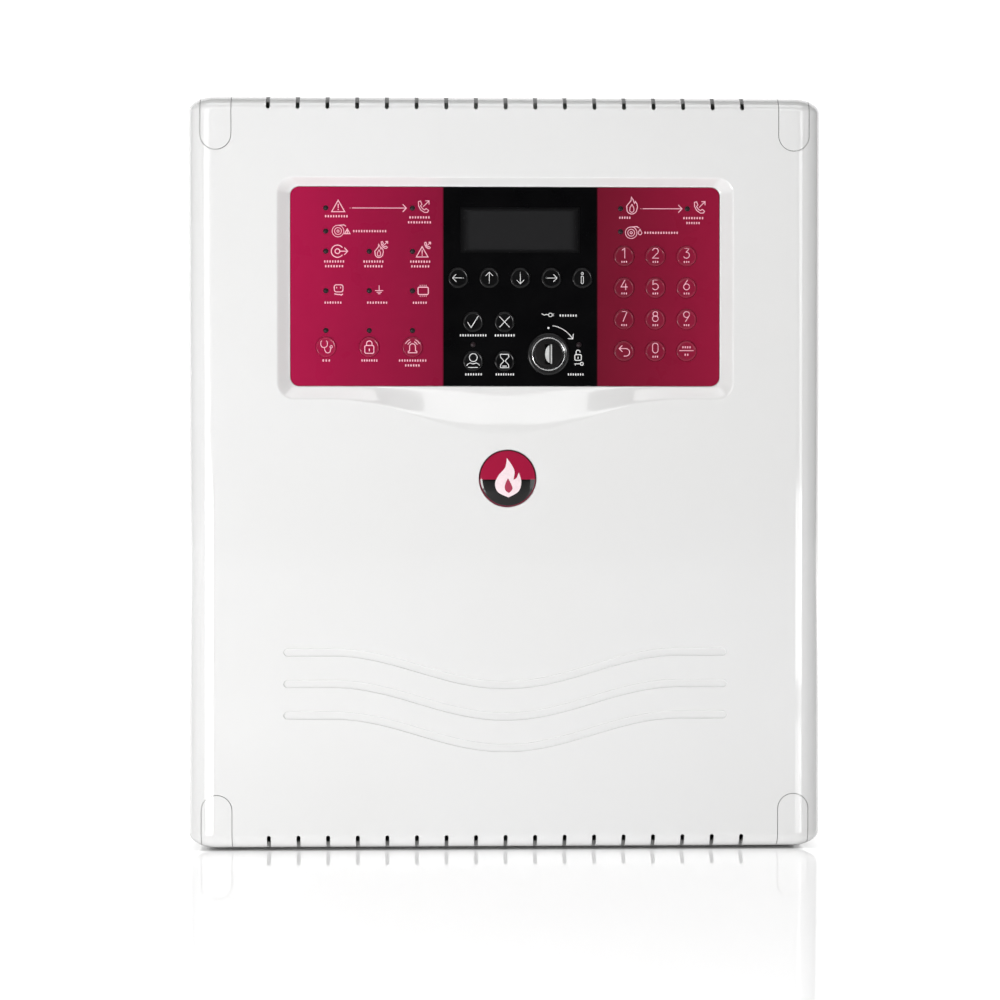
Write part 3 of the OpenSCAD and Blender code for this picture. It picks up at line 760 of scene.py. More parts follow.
def make_housing():
    edge = 3
    rings = [case_ring(0.5, SPLIT), case_ring(0.15, SPLIT + 0.15), case_ring(0, SPLIT + 0.5), case_ring(0, -edge)]
    for turn in (math.radians(18 * i) for i in range(1, 6)):
        rings.append(case_ring(edge * (1 - math.cos(turn)), -edge + edge * math.sin(turn)))
    housing = loft(rings)
    cut(housing, loft([case_ring(WALL, y) for y in (SPLIT - 1, -3)]))
    shelf = block((-CASE_X + 1.4, SPLIT + 3, -170), (CASE_X - 1.4, -1.5, -168))
    posts, pads = rods(WELLS, 5.5, SPLIT, -1.5), rods(WALL_HOLES, 9, -4.2, -1)
    fuse(housing, shelf, *posts, *pads, *knuckles(-0.2, KNUCKLE_R))
    screw_bore_r, wall_hole_r = 2.05, 2.75
    bores = rods(WELLS, screw_bore_r, SPLIT - 1, SPLIT + 16) + rods(WALL_HOLES, wall_hole_r, -6, 1)
    cable_window = prism(rounded(0, 156, 80, 32, 4), -4, 1)
    panel = prism(rounded(0, -20, 250, 250, 10), -0.7, 1)
    gaps = hinge_rods(PIN_R + 0.05, MID_KNUCKLE + 2 * EAR + 2) + hinge_rods(KNUCKLE_R + PART_GAP, MID_KNUCKLE + 0.2)
    cut(housing, panel, *bores, cable_window, *gaps)
    finish_piece(housing, "housing_shell", "housing", "housing_white")
    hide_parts("rear_housing")


# ---------- printed graphics ----------

def curve(cx, cz, radius, start, end, steps):
    return arc(cx, cz, radius, radius, start, end, steps)


def hoop(cx, cz, radius):
    return curve(cx, cz, radius, 0, 360, 28)[:-1]


def arrow(turn):
    """Strokes of an arrow that points left, turned clockwise by turn degrees."""
    a = math.radians(-turn)
    strokes = []
    for points in ([(-2.8, 0), (1.9, 0)], [(2.5, 0), (2.6, 0)], [(-1.1, 1.8), (-2.9, 0), (-1.1, -1.8)]):
        spun = [(px * math.cos(a) - pz * math.sin(a), px * math.sin(a) + pz * math.cos(a)) for px, pz in points]
        strokes.append((0.34, spun))
    return strokes


PADLOCK = (0.5, rounded(0, -1.2, 4.6, 4.0, 0.8, steps=3), True)
KEYHOLE = (0.6, [(0, -1.0), (0, -1.9)])

# Each icon is a list of strokes: width, points and, where the stroke is closed, True.
ICONS = {
    "warning": [(0.5, [(-3.3, -2.7), (3.3, -2.7), (0, 3.1)], True),
                (0.5, [(0, 1.1), (0, -0.7)]), (0.55, [(0, -1.5), (0, -1.7)])],
    "handset": [(0.42, [(-2.7, 2.6), (-1.6, 2.9), (-0.9, 1.2), (-1.6, 0.5), (-0.7, -0.9), (0.5, -1.6), (1.2, -0.9),
                        (2.5, -1.9), (1.9, -2.8), (0.4, -2.9), (-1.5, -1.6), (-2.6, 0.4)], True),
                (0.42, [(-0.2, 0.1), (2.7, 3.0)]), (0.42, [(1.0, 3.0), (2.7, 3.0), (2.7, 1.3)])],
    "reel": [(0.36, hoop(0, 0, radius), True) for radius in (0.55, 1.75, 2.95)]
            + [(0.5, [(0.4, 2.9), (2.9, 3.1), (3.9, 2.5)])],
    "flame": [(0.45, curve(0, -1.4, 2.6, 200, 340, 12)
               + [(2.9, -0.4), (2.6, 1.2), (1.7, 2.4), (1.3, 1.3), (0.7, 3.2), (-0.2, 4.6), (-0.4, 2.8), (-1.5, 1.4),
                  (-2.6, 0.1)], True),
              (0.4, curve(0, -2.0, 1.1, 190, 350, 8) + [(1.0, -0.8), (0.1, 0.9), (-0.9, -0.8)], True)],
    "drop": [(0.4, curve(0, -0.5, 0.9, 160, 380, 10) + [(0.0, 1.4)], True)],
    "output": [(0.55, curve(0, 0, 3.1, 40, 320, 24)), (0.55, hoop(0, 0, 1.2), True),
               (0.5, [(1.4, 0), (5.0, 0)]), (0.5, [(3.6, 1.7), (5.2, 0), (3.6, -1.7)])],
    "supply": [(0.5, rounded(0, 0.8, 4.4, 3.6, 1.0, steps=3), True),
               (0.45, [(-1.0, 1.4), (-1.0, 0.9)]), (0.45, [(1.0, 1.4), (1.0, 0.9)]),
               (0.6, [(-2.0, -2.0), (-0.6, -2.3), (0.6, -2.3), (1.3, -2.6), (2.0, -2.1)])],
    "earth": [(0.42, [(0, 2.5), (0, 0)])]
             + [(0.42, [(-half, drop), (half, drop)]) for half, drop in ((1.9, 0.0), (1.2, -0.8), (0.5, -1.6))],
    "chip": [(0.55, rounded(0, 0, 5.2, 3.7, 0.6, steps=2), True)]
            + [(0.35, [(x, side * 2.4), (x, side * 2.9)]) for x in (-1.5, -0.5, 0.5, 1.5) for side in (-1, 1)],
    "unlocked": [PADLOCK, (0.5, [(-1.4, 0.9)] + curve(0, 1.7 + 0.9, 1.4, 180, 0, 12)), KEYHOLE],
    "left": arrow(0), "up": arrow(90), "right": arrow(180), "down": arrow(270),
    "info": [(0.34, hoop(0, 2.3, 0.55), True), (0.34, rounded(0, -0.9, 1.1, 3.9, 0.5, steps=3), True)],
    "confirm": [(0.4, [(-2.7, -0.3), (-1.0, -2.9), (2.8, 3.2)])],
    "cancel": [(0.4, [(-2.5, 2.6), (2.5, -2.6)]), (0.4, [(-2.5, -2.6), (2.5, 2.6)])],
    "staff": [(0.4, hoop(0.1, 1.7, 2.0), True),
              (0.4, [(-3.4, -3.3), (-3.4, -2.6), (-2.6, -1.6), (-1.5, -1.0), (0, -1.5), (1.6, -1.0), (2.8, -1.6),
                     (3.6, -2.6), (3.6, -3.3)], True)],
    "delay": [(0.4, [(-2.2, 3.4), (2.2, 3.4), (2.0, 1.9), (0.3, 0), (2.0, -1.9), (2.2, -3.4), (-2.2, -3.4),
                     (-2.0, -1.9), (-0.3, 0), (-2.0, 1.9)], True), (0.5, [(-0.9, -2.6), (0.9, -2.6)])],
    "test": [(0.45, [(-2.2, 3.1), (-2.6, 2.6)] + curve(-1.0, 1.4, 1.7, 170, 370, 14) + [(0.6, 2.6), (0.2, 3.1)]),
             (0.45, [(-0.9, -0.3), (-0.6, -1.6)] + curve(0.9, -1.6, 1.4, 190, 330, 10) + [(2.4, -0.6)]),
             (0.4, hoop(2.6, 0.1, 0.6), True)],
    "lockout": [PADLOCK, (0.5, [(-1.4, 0.9)] + curve(0, 1.7, 1.4, 180, 0, 12) + [(1.4, 0.9)]), KEYHOLE],
    "siren": [(0.45, [(-2.2, -2.9), (2.2, -2.9), (2.2, -2.1), (1.5, -1.9), (1.5, 0.2)]
               + curve(0, 0.2, 1.5, 0, 180, 10) + [(-1.5, -1.9), (-2.2, -2.1)], True)]
             + [(0.42, curve(0, 0.2, radius, start, start + 43, 8)) for radius in (2.6, 3.8) for start in (25, 112)],
    "back": [(0.45, [(-2.3, 1.2), (0.9, 1.2)] + curve(0.9, -0.7, 1.9, 90, -90, 12) + [(0.0, -2.6)]),
             (0.45, [(-1.0, 2.7), (-2.5, 1.2), (-1.0, -0.3)])],
}

DIGITS = {
    "1": [[(-1.0, 1.6), (0.3, 2.5), (0.3, -2.5)]],
    "2": [curve(0, 1.0, 1.5, 160, -25, 12) + [(-1.5, -2.5), (1.6, -2.5)]],
    "3": [[(-1.4, 2.5), (1.4, 2.5), (-0.2, 0.6)] + curve(-0.1, -0.95, 1.55, 80, -150, 12)],
    "4": [[(0.4, 2.5), (-1.6, -1.1), (1.7, -1.1)], [(0.8, 0.4), (0.8, -2.5)]],
    "5": [[(1.4, 2.5), (-1.1, 2.5), (-1.3, 0.2)] + curve(-0.05, -0.95, 1.55, 120, -150, 12)],
    "6": [curve(0, -1.0, 1.5, 0, 360, 24), [(0.5, 2.5), (-1.2, -0.1)]],
    "7": [[(-1.5, 2.5), (1.5, 2.5), (-0.5, -2.5)]],
    "8": [curve(0, 1.25, 1.2, 0, 360, 20), curve(0, -1.1, 1.45, 0, 360, 24)],
    "9": [curve(0, 1.0, 1.5, 0, 360, 24), [(1.2, 0.1), (-0.5, -2.5)]],
    "0": [curve(0, 1.1, 1.4, 0, 180, 10) + curve(0, -1.1, 1.4, 180, 360, 10) + [(1.4, 1.1)]],
}


class Print:
    """Thin printed strokes on a face, toward -1 for -Y or 1 for +Y. Places are (x, z) in millimetres."""

    def __init__(self, y, toward=-1):
        self.bm = bmesh.new()
        self.y = y
        self.lift = 0.02
        self.toward = toward

    def depths(self):
        """Front and back of the next stroke, which stands a touch prouder than the last one."""
        self.lift += 0.0004
        return self.y + self.toward * self.lift, self.y - self.toward * 0.01

    def line(self, points, width=0.5, x=0.0, z=0.0, scale=1.0, closed=False):
        """Stroke of even width along points, with round ends unless it is closed."""
        path = [Vector((x + scale * px, z + scale * pz)) for px, pz in points]
        last = len(path) - 1
        half = 0.44 * width
        stations = []
        for i, point in enumerate(path):
            before = path[i - 1] if (i or closed) else point
            after = path[(i + 1) % len(path)] if (i < last or closed) else point
            a = (point - before).normalized() if before != point else (after - point).normalized()
            b = (after - point).normalized() if after != point else a
            along = (a + b).normalized() if (a + b).length > 1e-6 else a
            side = Vector((-along.y, along.x))
            reach = min(half / max(side.dot(Vector((-a.y, a.x))), 0.4), half * 2)
            stations.append((point + side * reach, point - side * reach))
        if not closed:
            stations = self.round_ends(path, stations, half)
        near, far = self.depths()
        rings = [[(left.x, near, left.y), (right.x, near, right.y), (right.x, far, right.y), (left.x, far, left.y)]
                 for left, right in stations]
        add_loft(self.bm, rings, closed)

    def round_ends(self, path, stations, half):
        for at_end, tip, inner in ((False, path[0], path[1]), (True, path[-1], path[-2])):
            along = (tip - inner).normalized()
            side = Vector((-along.y, along.x))
            extra = []
            for angle in (35, 70):
                out = tip + along * half * math.sin(math.radians(angle))
                reach = side * half * math.cos(math.radians(angle))
                extra.append((out + reach, out - reach) if at_end else (out - reach, out + reach))
            stations = stations + extra if at_end else extra[::-1] + stations
        return stations

    def fill(self, points):
        """Solid shape inside an outline."""
        add_loft(self.bm, [[(x, y, z) for x, z in points] for y in self.depths()])

    def icon(self, name, x, z, scale=1.0):
        for width, points, *closed in ICONS[name]:
            self.line(points, width, x, z, scale, bool(closed))

    def arrow(self, x_from, x_to, z):
        self.line([(x_from, z), (x_from + 0.1, z)], 0.35)
        self.line([(x_from + 1.1, z), (x_to, z)], 0.42)
        self.line([(x_to - 1.7, z + 1.8), (x_to, z), (x_to - 1.7, z - 1.8)], 0.5)

    def words(self, x_from, x_to, z, height=1.15):
        """Stands for a printed label: a row of plain dashes with no lettering."""
        count = max(1, round((x_to - x_from) / 1.32))
        pitch = (x_to - x_from) / count
        for i in range(count):
            self.fill(rounded(x_from + pitch * (i + 0.5), z, pitch * 0.5, height, 0.25, steps=2))

    def rows(self, *rows):
        """Draws rows in turn: (icon, x, z, scale), ("arrow", x_from, x_to, z) or, for dashes, (x_from, x_to, z)."""
        for row in rows:
            if row[0] == "arrow":
                self.arrow(*row[1:])
            elif row[0] in ICONS:
                self.icon(*row)
            else:
                self.words(*row)

    def done(self, name, body, paint, slot):
        finish_piece(from_bmesh(self.bm), name, body, paint, weighted=False)


def make_keys():
    """Each key is an embossed cap with its mark, a flange behind the panel and a stem to its switch."""
    for node in KEYS:
        x, z = centre_xz(node)
        low, high = box_mm(node)
        face = low.y
        profile = [
            (0.01, face + 0.1), (4.0, face + 0.1), (4.3, face + 0.03), (4.6, face - 0.1), (4.85, face - 0.02),
            (5.15, face + 0.25), (5.3, face + 0.6), (5.3, LEDGE + 0.3), (5.8, LEDGE + 0.3), (5.8, LEDGE + 1.1),
            (1.8, LEDGE + 1.1), (1.8, high.y - 0.2), (1.6, high.y), (0.01, high.y),
        ]
        cap = turned(profile, x, z, 56)
        finish_piece(cap, f"{node}_cap", node, "key", angle=50)
        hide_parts(node)
        p = Print(face + 0.1)
        name = node[4:]
        if name in DIGITS:
            for points in DIGITS[name]:
                p.line(points, 0.42, x, z + 1.5)
            p.words(x - 1.7, x + 1.7, z - 2.9, 1.0)
        elif name == "menu":
            p.words(x - 2.4, x + 2.4, z + 1.9, 1.1)
            p.line([(-3.5, 0.2), (3.5, 0.2)], 0.42, x, z)
            p.words(x - 1.3, x + 1.3, z - 1.9, 1.1)
        else:
            p.icon(name, x, z)
        on_black = BLACK_FROM < x < BLACK_TO
        p.done(f"{node}_mark", node, "ink_white" if on_black else "ink_pink", "key_print")


def make_fascia_marks():
    pink = Print(FILM)
    pink.rows(
        ("warning", -84.7, 135.0), ("arrow", -78.7, -50.2, 134.2), ("handset", -41.4, 134.9),
        (-91.7, -79.6, 130.0), (-49.0, -38.1, 129.5), (-49.7, -37.4, 127.0),
        ("reel", -84.8, 122.5), ("warning", -80.1, 122.3, 0.42), (-77.5, -60.1, 122.5),
        ("output", -85.1, 112.3), ("flame", -64.1, 112.3, 0.78), ("handset", -61.3, 115.5, 0.6),
        ("warning", -42.2, 111.9, 0.9), ("handset", -39.4, 115.3, 0.55),
        *[(x - half, x + half, z) for x in (-86.8, -66.9, -43.2) for half, z in ((5.4, 107.1), (4.9, 104.7))],
        ("supply", -84.5, 92.7), ("earth", -64.0, 92.4), ("chip", -41.7, 92.3),
        (-92.0, -82.8, 86.3), (-70.4, -59.6, 86.3), (-47.2, -39.6, 86.3),
        (-93.1, -88.5, 57.0), (-73.3, -64.6, 57.0), (-54.3, -39.8, 57.0), (-51.2, -43.2, 54.5),
        ("flame", 64.3, 135.5), ("arrow", 68.9, 89.8, 134.2), ("handset", 98.9, 134.9),
        (57.6, 63.9, 129.6), (90.2, 101.0, 129.5), (91.8, 99.2, 127.0),
        ("reel", 64.0, 122.0), ("drop", 68.5, 122.4), (70.4, 88.1, 122.0),
    )
    pink.done("fascia_marks_pink", "cover", "ink_pink", "fascia_print")
    pale = Print(FILM)
    pale.rows((-23.4, -9.3, 69.8), (-5.7, 5.1, 69.8), (-20.7, -11.6, 50.0), (-5.2, 4.7, 50.0))
    pale.line([(18.6, 80.8), (19.8, 80.1), (20.9, 80.5), (22.0, 80.2)], 0.4)
    pale.line(rounded(22.9, 80.2, 1.7, 1.7, 0.5, steps=2), 0.35, closed=True)
    for z in (80.6, 79.8):
        pale.line([(23.7, z), (24.6, z)], 0.3)
    pale.words(27.3, 36.6, 79.9)
    pale.fill(circle(LOCK_X, LOCK_Z + 13.3, 0.55, 14))
    sweep = curve(LOCK_X, LOCK_Z, 14.6, 81, 32, 18)
    pale.line(sweep, 0.42)
    x, z = sweep[-1]
    pale.line([(x - 2.3, z + 0.2), (x, z), (x + 0.3, z + 2.4)], 0.45)
    pale.icon("unlocked", 37.0, 59.5, 0.72)
    pale.line(hoop(38.9, 55.4, 0.75), 0.5, closed=True)
    pale.line([(38.0, 55.4), (35.3, 55.4)], 0.45)
    pale.line([(35.6, 55.4), (35.6, 54.7)], 0.4)
    pale.words(31.5, 40.1, 50.0)
    pale.done("fascia_marks_white", "cover", "ink_white", "fascia_print")


def make_lamps():
    bm = bmesh.new()
    for x, z in LAMPS:
        profile = [(0.01, FILM - 0.32)]
        profile += [(1.05 * math.sin(math.radians(a)), FILM - 0.32 * math.cos(math.radians(a))) for a in (25, 50, 75)]
        profile += [(1.25, FILM + 0.05), (1.25, BOARD), (0.01, BOARD)]
        add_turned(bm, profile, x, z, 24)
    lamps = from_bmesh(bm)
    finish_piece(lamps, "lamp_lenses", "cover", "lamp")
    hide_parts("status_lamps")


# ---------- lock ----------

def make_lock():
    face, rear = (corner.y for corner in box_mm("lock_body"))
    body = turned([
        (7.05, face + 0.75), (7.75, face + 0.5), (8.6, face + 0.42), (9.2, face + 0.05), (9.6, face),
        (10.1, face + 0.08), (10.55, face + 0.4), (10.8, face + 0.9), (10.85, face + 1.4), (10.85, FILM),
        (8.75, FILM), (8.75, rear - 10), (7.05, rear - 10),
    ], LOCK_X, LOCK_Z, steps=96)
    body_ring(body)
    finish_piece(body, "lock_barrel", "cover", "lock_black", angle=45)
    case = block((LOCK_X - 9.5, rear - 11, LOCK_Z - 9.5), (LOCK_X + 9.5, rear, LOCK_Z + 9.5), 1.5)
    cut(case, rod(LOCK_X, LOCK_Z, 7.05, rear - 12, rear - 10.3))
    finish_piece(case, "lock_switch_case", "cover", "lock_black")
    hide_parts("lock_body")
    ring = turned([
        (7.95, face + 0.7), (7.95, face + 0.2), (8.05, face + 0.03), (8.2, face - 0.02), (8.35, face + 0.03),
        (8.45, face + 0.2), (8.45, face + 0.7),
    ], LOCK_X, LOCK_Z, steps=96)
    body_ring(ring)
    finish_piece(ring, "lock_bright_ring", "cover", "chrome", angle=50)


def body_ring(piece):
    """Turns a revolved shape whose ends were capped with discs into a ring: drops the discs and joins the ends."""
    bm = bmesh.new()
    bm.from_mesh(piece.data)
    discs = [f for f in bm.faces if len(f.verts) > 8]
    edges = [e for f in discs for e in f.edges]
    bmesh.ops.delete(bm, geom=discs, context="FACES_ONLY")
    bmesh.ops.bridge_loops(bm, edges=edges)
    bmesh.ops.recalc_face_normals(bm, faces=bm.faces)
    bm.to_mesh(piece.data)
    bm.free()


def make_plug():
    face, rear = (corner.y for corner in box_mm("lock_plug"))
    plug = turned([
        (0.01, face), (6.55, face), (6.85, face + 0.1), (7.0, face + 0.4), (7.0, rear), (0.01, rear),
    ], LOCK_X, LOCK_Z, steps=96)
    slot = prism(rounded(LOCK_X, LOCK_Z, 3.6, 10.4, 0.5, steps=3), face - 1, face + 7)
    cut(plug, slot)
    finish_piece(plug, "plug_core", "lock_plug", "plug_black")
    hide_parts("lock_plug")
    lens = [(LOCK_X + 0.9 - 2.6 * math.cos(math.radians(a)), LOCK_Z + 4.5 * math.sin(math.radians(a)))
            for a in range(-80, 81, 16)]
    shutter = prism(lens, face + 0.15, face + 1.5)
    finish_piece(shutter, "keyway_shutter", "lock_plug", "shutter")
    rail = block((LOCK_X + 1.1, face + 0.3, LOCK_Z - 4.9), (LOCK_X + 1.75, face + 2.0, LOCK_Z + 4.9), 0.2)
    finish_piece(rail, "keyway_rail", "lock_plug", "shutter")


# ---------- badge ----------

def dome_y(radius, lift):
    """Depth of the badge's dome at a distance from its middle."""
    rise = 1.4
    sphere = (BADGE_R ** 2 + rise ** 2) / (2 * rise)
    return FRONT - rise + sphere - math.sqrt(sphere ** 2 - radius ** 2) - lift


def dome(lift):
    profile = [(0.01, dome_y(0, lift))] + [(r, dome_y(r, lift)) for r in (2, 4, 6, 8, 10, 11.5, 12.6, BADGE_R - 1.2)]
    profile += [(BADGE_R - 0.6, dome_y(BADGE_R - 0.8, lift) + 0.1), (BADGE_R - 0.25, FRONT - 0.05)]
    return profile + [(BADGE_R - 0.05, FRONT + 0.35), (BADGE_R, FRONT + 1.6), (0.01, FRONT + 1.6)]


def spline(points, steps=8):
    """Catmull-Rom curve through points, first and last included."""
    path = []
    for i in range(len(points) - 1):
        a, b = Vector(points[max(i - 1, 0)]), Vector(points[i])
        c, d = Vector(points[i + 1]), Vector(points[min(i + 2, len(points) - 1)])
        for s in range(steps):
            t = s / steps
            path.append(0.5 * (2 * b + (c - a) * t + (2 * a - 5 * b + 4 * c - d) * t * t
                               + (3 * b - a - 3 * c + d) * t ** 3))
    return [tuple(p) for p in path]


def badge_mark(outline, lift, name, paint):
    shape = prism([(BADGE_X + x, BADGE_Z + z) for x, z in outline], FRONT - 3, FRONT - 0.2)
    common(shape, turned(dome(lift), BADGE_X, BADGE_Z, steps=96))
    finish_piece(shape, name, "cover", paint)


def make_badge():
    badge = turned(dome(0), BADGE_X, BADGE_Z, steps=128)
    finish_piece(badge, "badge_dome", "cover", "badge", angle=60)
    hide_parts("badge")
    flame = spline([(0.4, -9.6), (5.4, -6.6), (6.9, -1.8), (5.6, 3.0)])
    flame += spline([(5.6, 3.0), (4.4, 0.2), (2.9, -0.6)])
    flame += spline([(2.9, -0.6), (3.3, 4.4), (-0.4, 10.4)])
    flame += spline([(-0.4, 10.4), (-1.3, 5.6), (-4.6, 1.6), (-6.4, -2.6), (-4.9, -6.9), (0.4, -9.6)])
    badge_mark(flame, 0.03, "badge_flame", "ink_pale")
    drop = spline([(0.6, -7.4), (2.4, -5.4), (1.9, -3.2), (0.1, 0.2)])
    drop += spline([(0.1, 0.2), (-1.4, -3.4), (-1.2, -5.9), (0.6, -7.4)])
    badge_mark(drop, 0.06, "badge_drop", "ink_crimson")


# ---------- electronics and wiring: shared forms ----------

class Kit:
    """Solids gathered into one mesh. toward is the side a solid's front faces: -1 for -Y, 1 for +Y."""

    def __init__(self):
        self.bm = bmesh.new()

    def box(self, low, high, edge=0.3, toward=-1):
        """Box with rounded corners and a softened front."""
        middle = ((low[0] + high[0]) / 2, (low[2] + high[2]) / 2)
        width, height = high[0] - low[0], high[2] - low[2]
        near, far = (low[1], high[1]) if toward < 0 else (high[1], low[1])
        rings = []
        for inset, depth in ((edge, 0), (edge * 0.3, edge * 0.3), (0, edge), (0, abs(far - near))):
            outline = rounded(*middle, width - 2 * inset, height - 2 * inset, max(1.3 * edge - inset, 0.05), steps=2)
            rings.append([(x, near - toward * depth, z) for x, z in outline])
        add_loft(self.bm, rings)

    def brick(self, low, high):
        """Plain box, for pins and cutters."""
        self.plate(corners(low, high), low[1], high[1])

    def plate(self, outline, near, far):
        add_loft(self.bm, [[(x, y, z) for x, z in outline] for y in (near, far)])

    def turn(self, profile, x, z, steps=28, face=0, toward=1):
        """Solid of revolution. The profile's depths are heights above face, on the side that toward gives."""
        add_turned(self.bm, [(radius, face + toward * y) for radius, y in profile], x, z, steps)

    def joints(self, places, radius, face, toward):
        """Small domed solder joints on a board's face."""
        profile = [(0.01, 0.6), (radius * 0.5, 0.5), (radius, 0.12), (radius, 0), (0.01, 0)]
        for x, z in places:
            self.turn(profile, x, z, 10, face, toward)

    def resistors(self, caps, places, face, toward=-1):
        """Surface-mount parts: this kit gets their bodies and caps gets their two tinned ends."""
        for x, z in places:
            for kit, half, height in ((self, 0.9, 0.6), (caps, 1.35, 0.5)):
                near, far = sorted((face, face + toward * height))
                kit.brick((x - half, near, z - 0.6), (x + half, far, z + 0.6))

    def done(self, name, body, paint, slot, nodes=(), cutter=None, angle=35, weighted=True):
        piece = from_bmesh(self.bm)
        if cutter:
            cut(piece, from_bmesh(cutter.bm))
        finish_piece(piece, name, body, paint, angle, weighted)
        if nodes:
            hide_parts(*nodes)


def plus(x, z, reach, half):
    """Outline of a cross."""
    points, quarter = [], [(half, half), (half, reach), (-half, reach)]
    for _ in range(4):
        points += [(x + px, z + pz) for px, pz in quarter]
        quarter = [(-pz, px) for px, pz in quarter]
    return points


def pan_screws(name, body, nodes, places, seat, radius, height, shank, length, toward=-1):
    """Pan-head screws with a cross recess and a threaded shank. seat is the depth their heads stand on."""
    pitch = 0.8
    profile = [(0.01, height), (radius * 0.55, height * 0.97), (radius * 0.85, height * 0.76),
               (radius, height * 0.34), (radius, 0), (shank, 0)]
    for turn in range(int((length - 1) / pitch)):
        profile += [(part * shank, -pitch * turn - drop) for part, drop in ((1, 0.3), (0.8, 0.55), (1, pitch))]
    profile += [(shank * 0.3, -length), (0.01, -length)]
    near, far = sorted((seat + toward * height * 0.4, seat + toward * (height + 1)))
    screws, recesses = Kit(), Kit()
    for x, z in places:
        screws.turn(profile, x, z, face=seat, toward=toward)
        recesses.plate(plus(x, z, radius * 0.6, radius * 0.14), near, far)
    screws.done(name, body, "steel", "screw_steel", nodes, cutter=recesses)


def wires(name, routes, radius, paint):
    """Insulated leads along smooth routes."""
    data = bpy.data.curves.new(name, "CURVE")
    data.dimensions = "3D"
    data.bevel_depth = radius * MM
    data.bevel_resolution = 3
    data.use_fill_caps = True
    for route in routes:
        points = spline(route, 6) + [route[-1]]
        strand = data.splines.new("POLY")
        strand.points.add(len(points) - 1)
        for point, place in zip(strand.points, points):
            point.co = (*(Vector(place) * MM), 1)
    drawn = add_object(name, data)
    graph = bpy.context.evaluated_depsgraph_get()
    mesh = bpy.data.meshes.new_from_object(drawn.evaluated_get(graph))
    bpy.data.objects.remove(drawn)
    return finish_piece(add_object(name, mesh), name, "housing", paint, weighted=False)


# ---------- what the housing carries ----------

def terminal(kit, wells, screws, slots, place, length):
    """Terminal block along a line. place(t, a, b) turns distances along, across and up into a point."""
    section = [(0, 0), (0, 10.6), (-0.4, 11), (-6.8, 11), (-8.5, 8.2), (-8.9, 8), (-11.7, 8), (-12, 7.7), (-12, 0)]
    rings = []
    for t, inset in ((0, 0.3), (0.3, 0), (length - 0.3, 0), (length, 0.3)):
        rings.append([place(t, a + (inset if a < -6 else -inset), max(b - inset, 0)) for a, b in section])
    add_loft(kit.bm, rings)
    for i in range(round(length / 5)):
        x, face, z = place(2.5 + 5 * i, -3.5, 11)
        wells.turn([(2.0, -1), (2.0, 1.6), (0.01, 1.6)], x, z, 20, face)
        screws.turn([(0.01, 0.5), (1.5, 0.5), (1.75, 0.75), (1.75, 1.7), (0.01, 1.7)], x, z, 20, face)
        slots.brick((x - 2.2, face - 1, z - 0.3), (x + 2.2, face + 1.1, z + 0.3))
        low, high = place(1.0 + 5 * i, -13, 6.5), place(4.0 + 5 * i, -9, 2.5)
        ends = [sorted(pair) for pair in zip(low, high)]
        wells.brick([end[0] for end in ends], [end[1] for end in ends])


def make_terminals():
    kit, wells, screws, slots = (Kit() for _ in range(4))
    for x0 in (BOARD_LOW.x + 8 + 16.4 * i for i in range(12)):
        terminal(kit, wells, screws, slots, lambda t, a, b: (x0 + t, BOARD_FACE - b, BOARD_HIGH.z - 1 + a), 15)
    for z0 in range(-36, 65, 20):
        terminal(kit, wells, screws, slots, lambda t, a, b: (BOARD_HIGH.x - 1 + a, BOARD_FACE - b, z0 - t), 15)
    terminal(kit, wells, screws, slots, lambda t, a, b: (-140 + t, -3 - b, 140 + a), 45)
    kit.done("terminal_bodies", "housing", "green", "terminal_green", ["terminal_blocks"], cutter=wells)
    screws.done("terminal_screws", "housing", "steel", "screw_steel", cutter=slots)


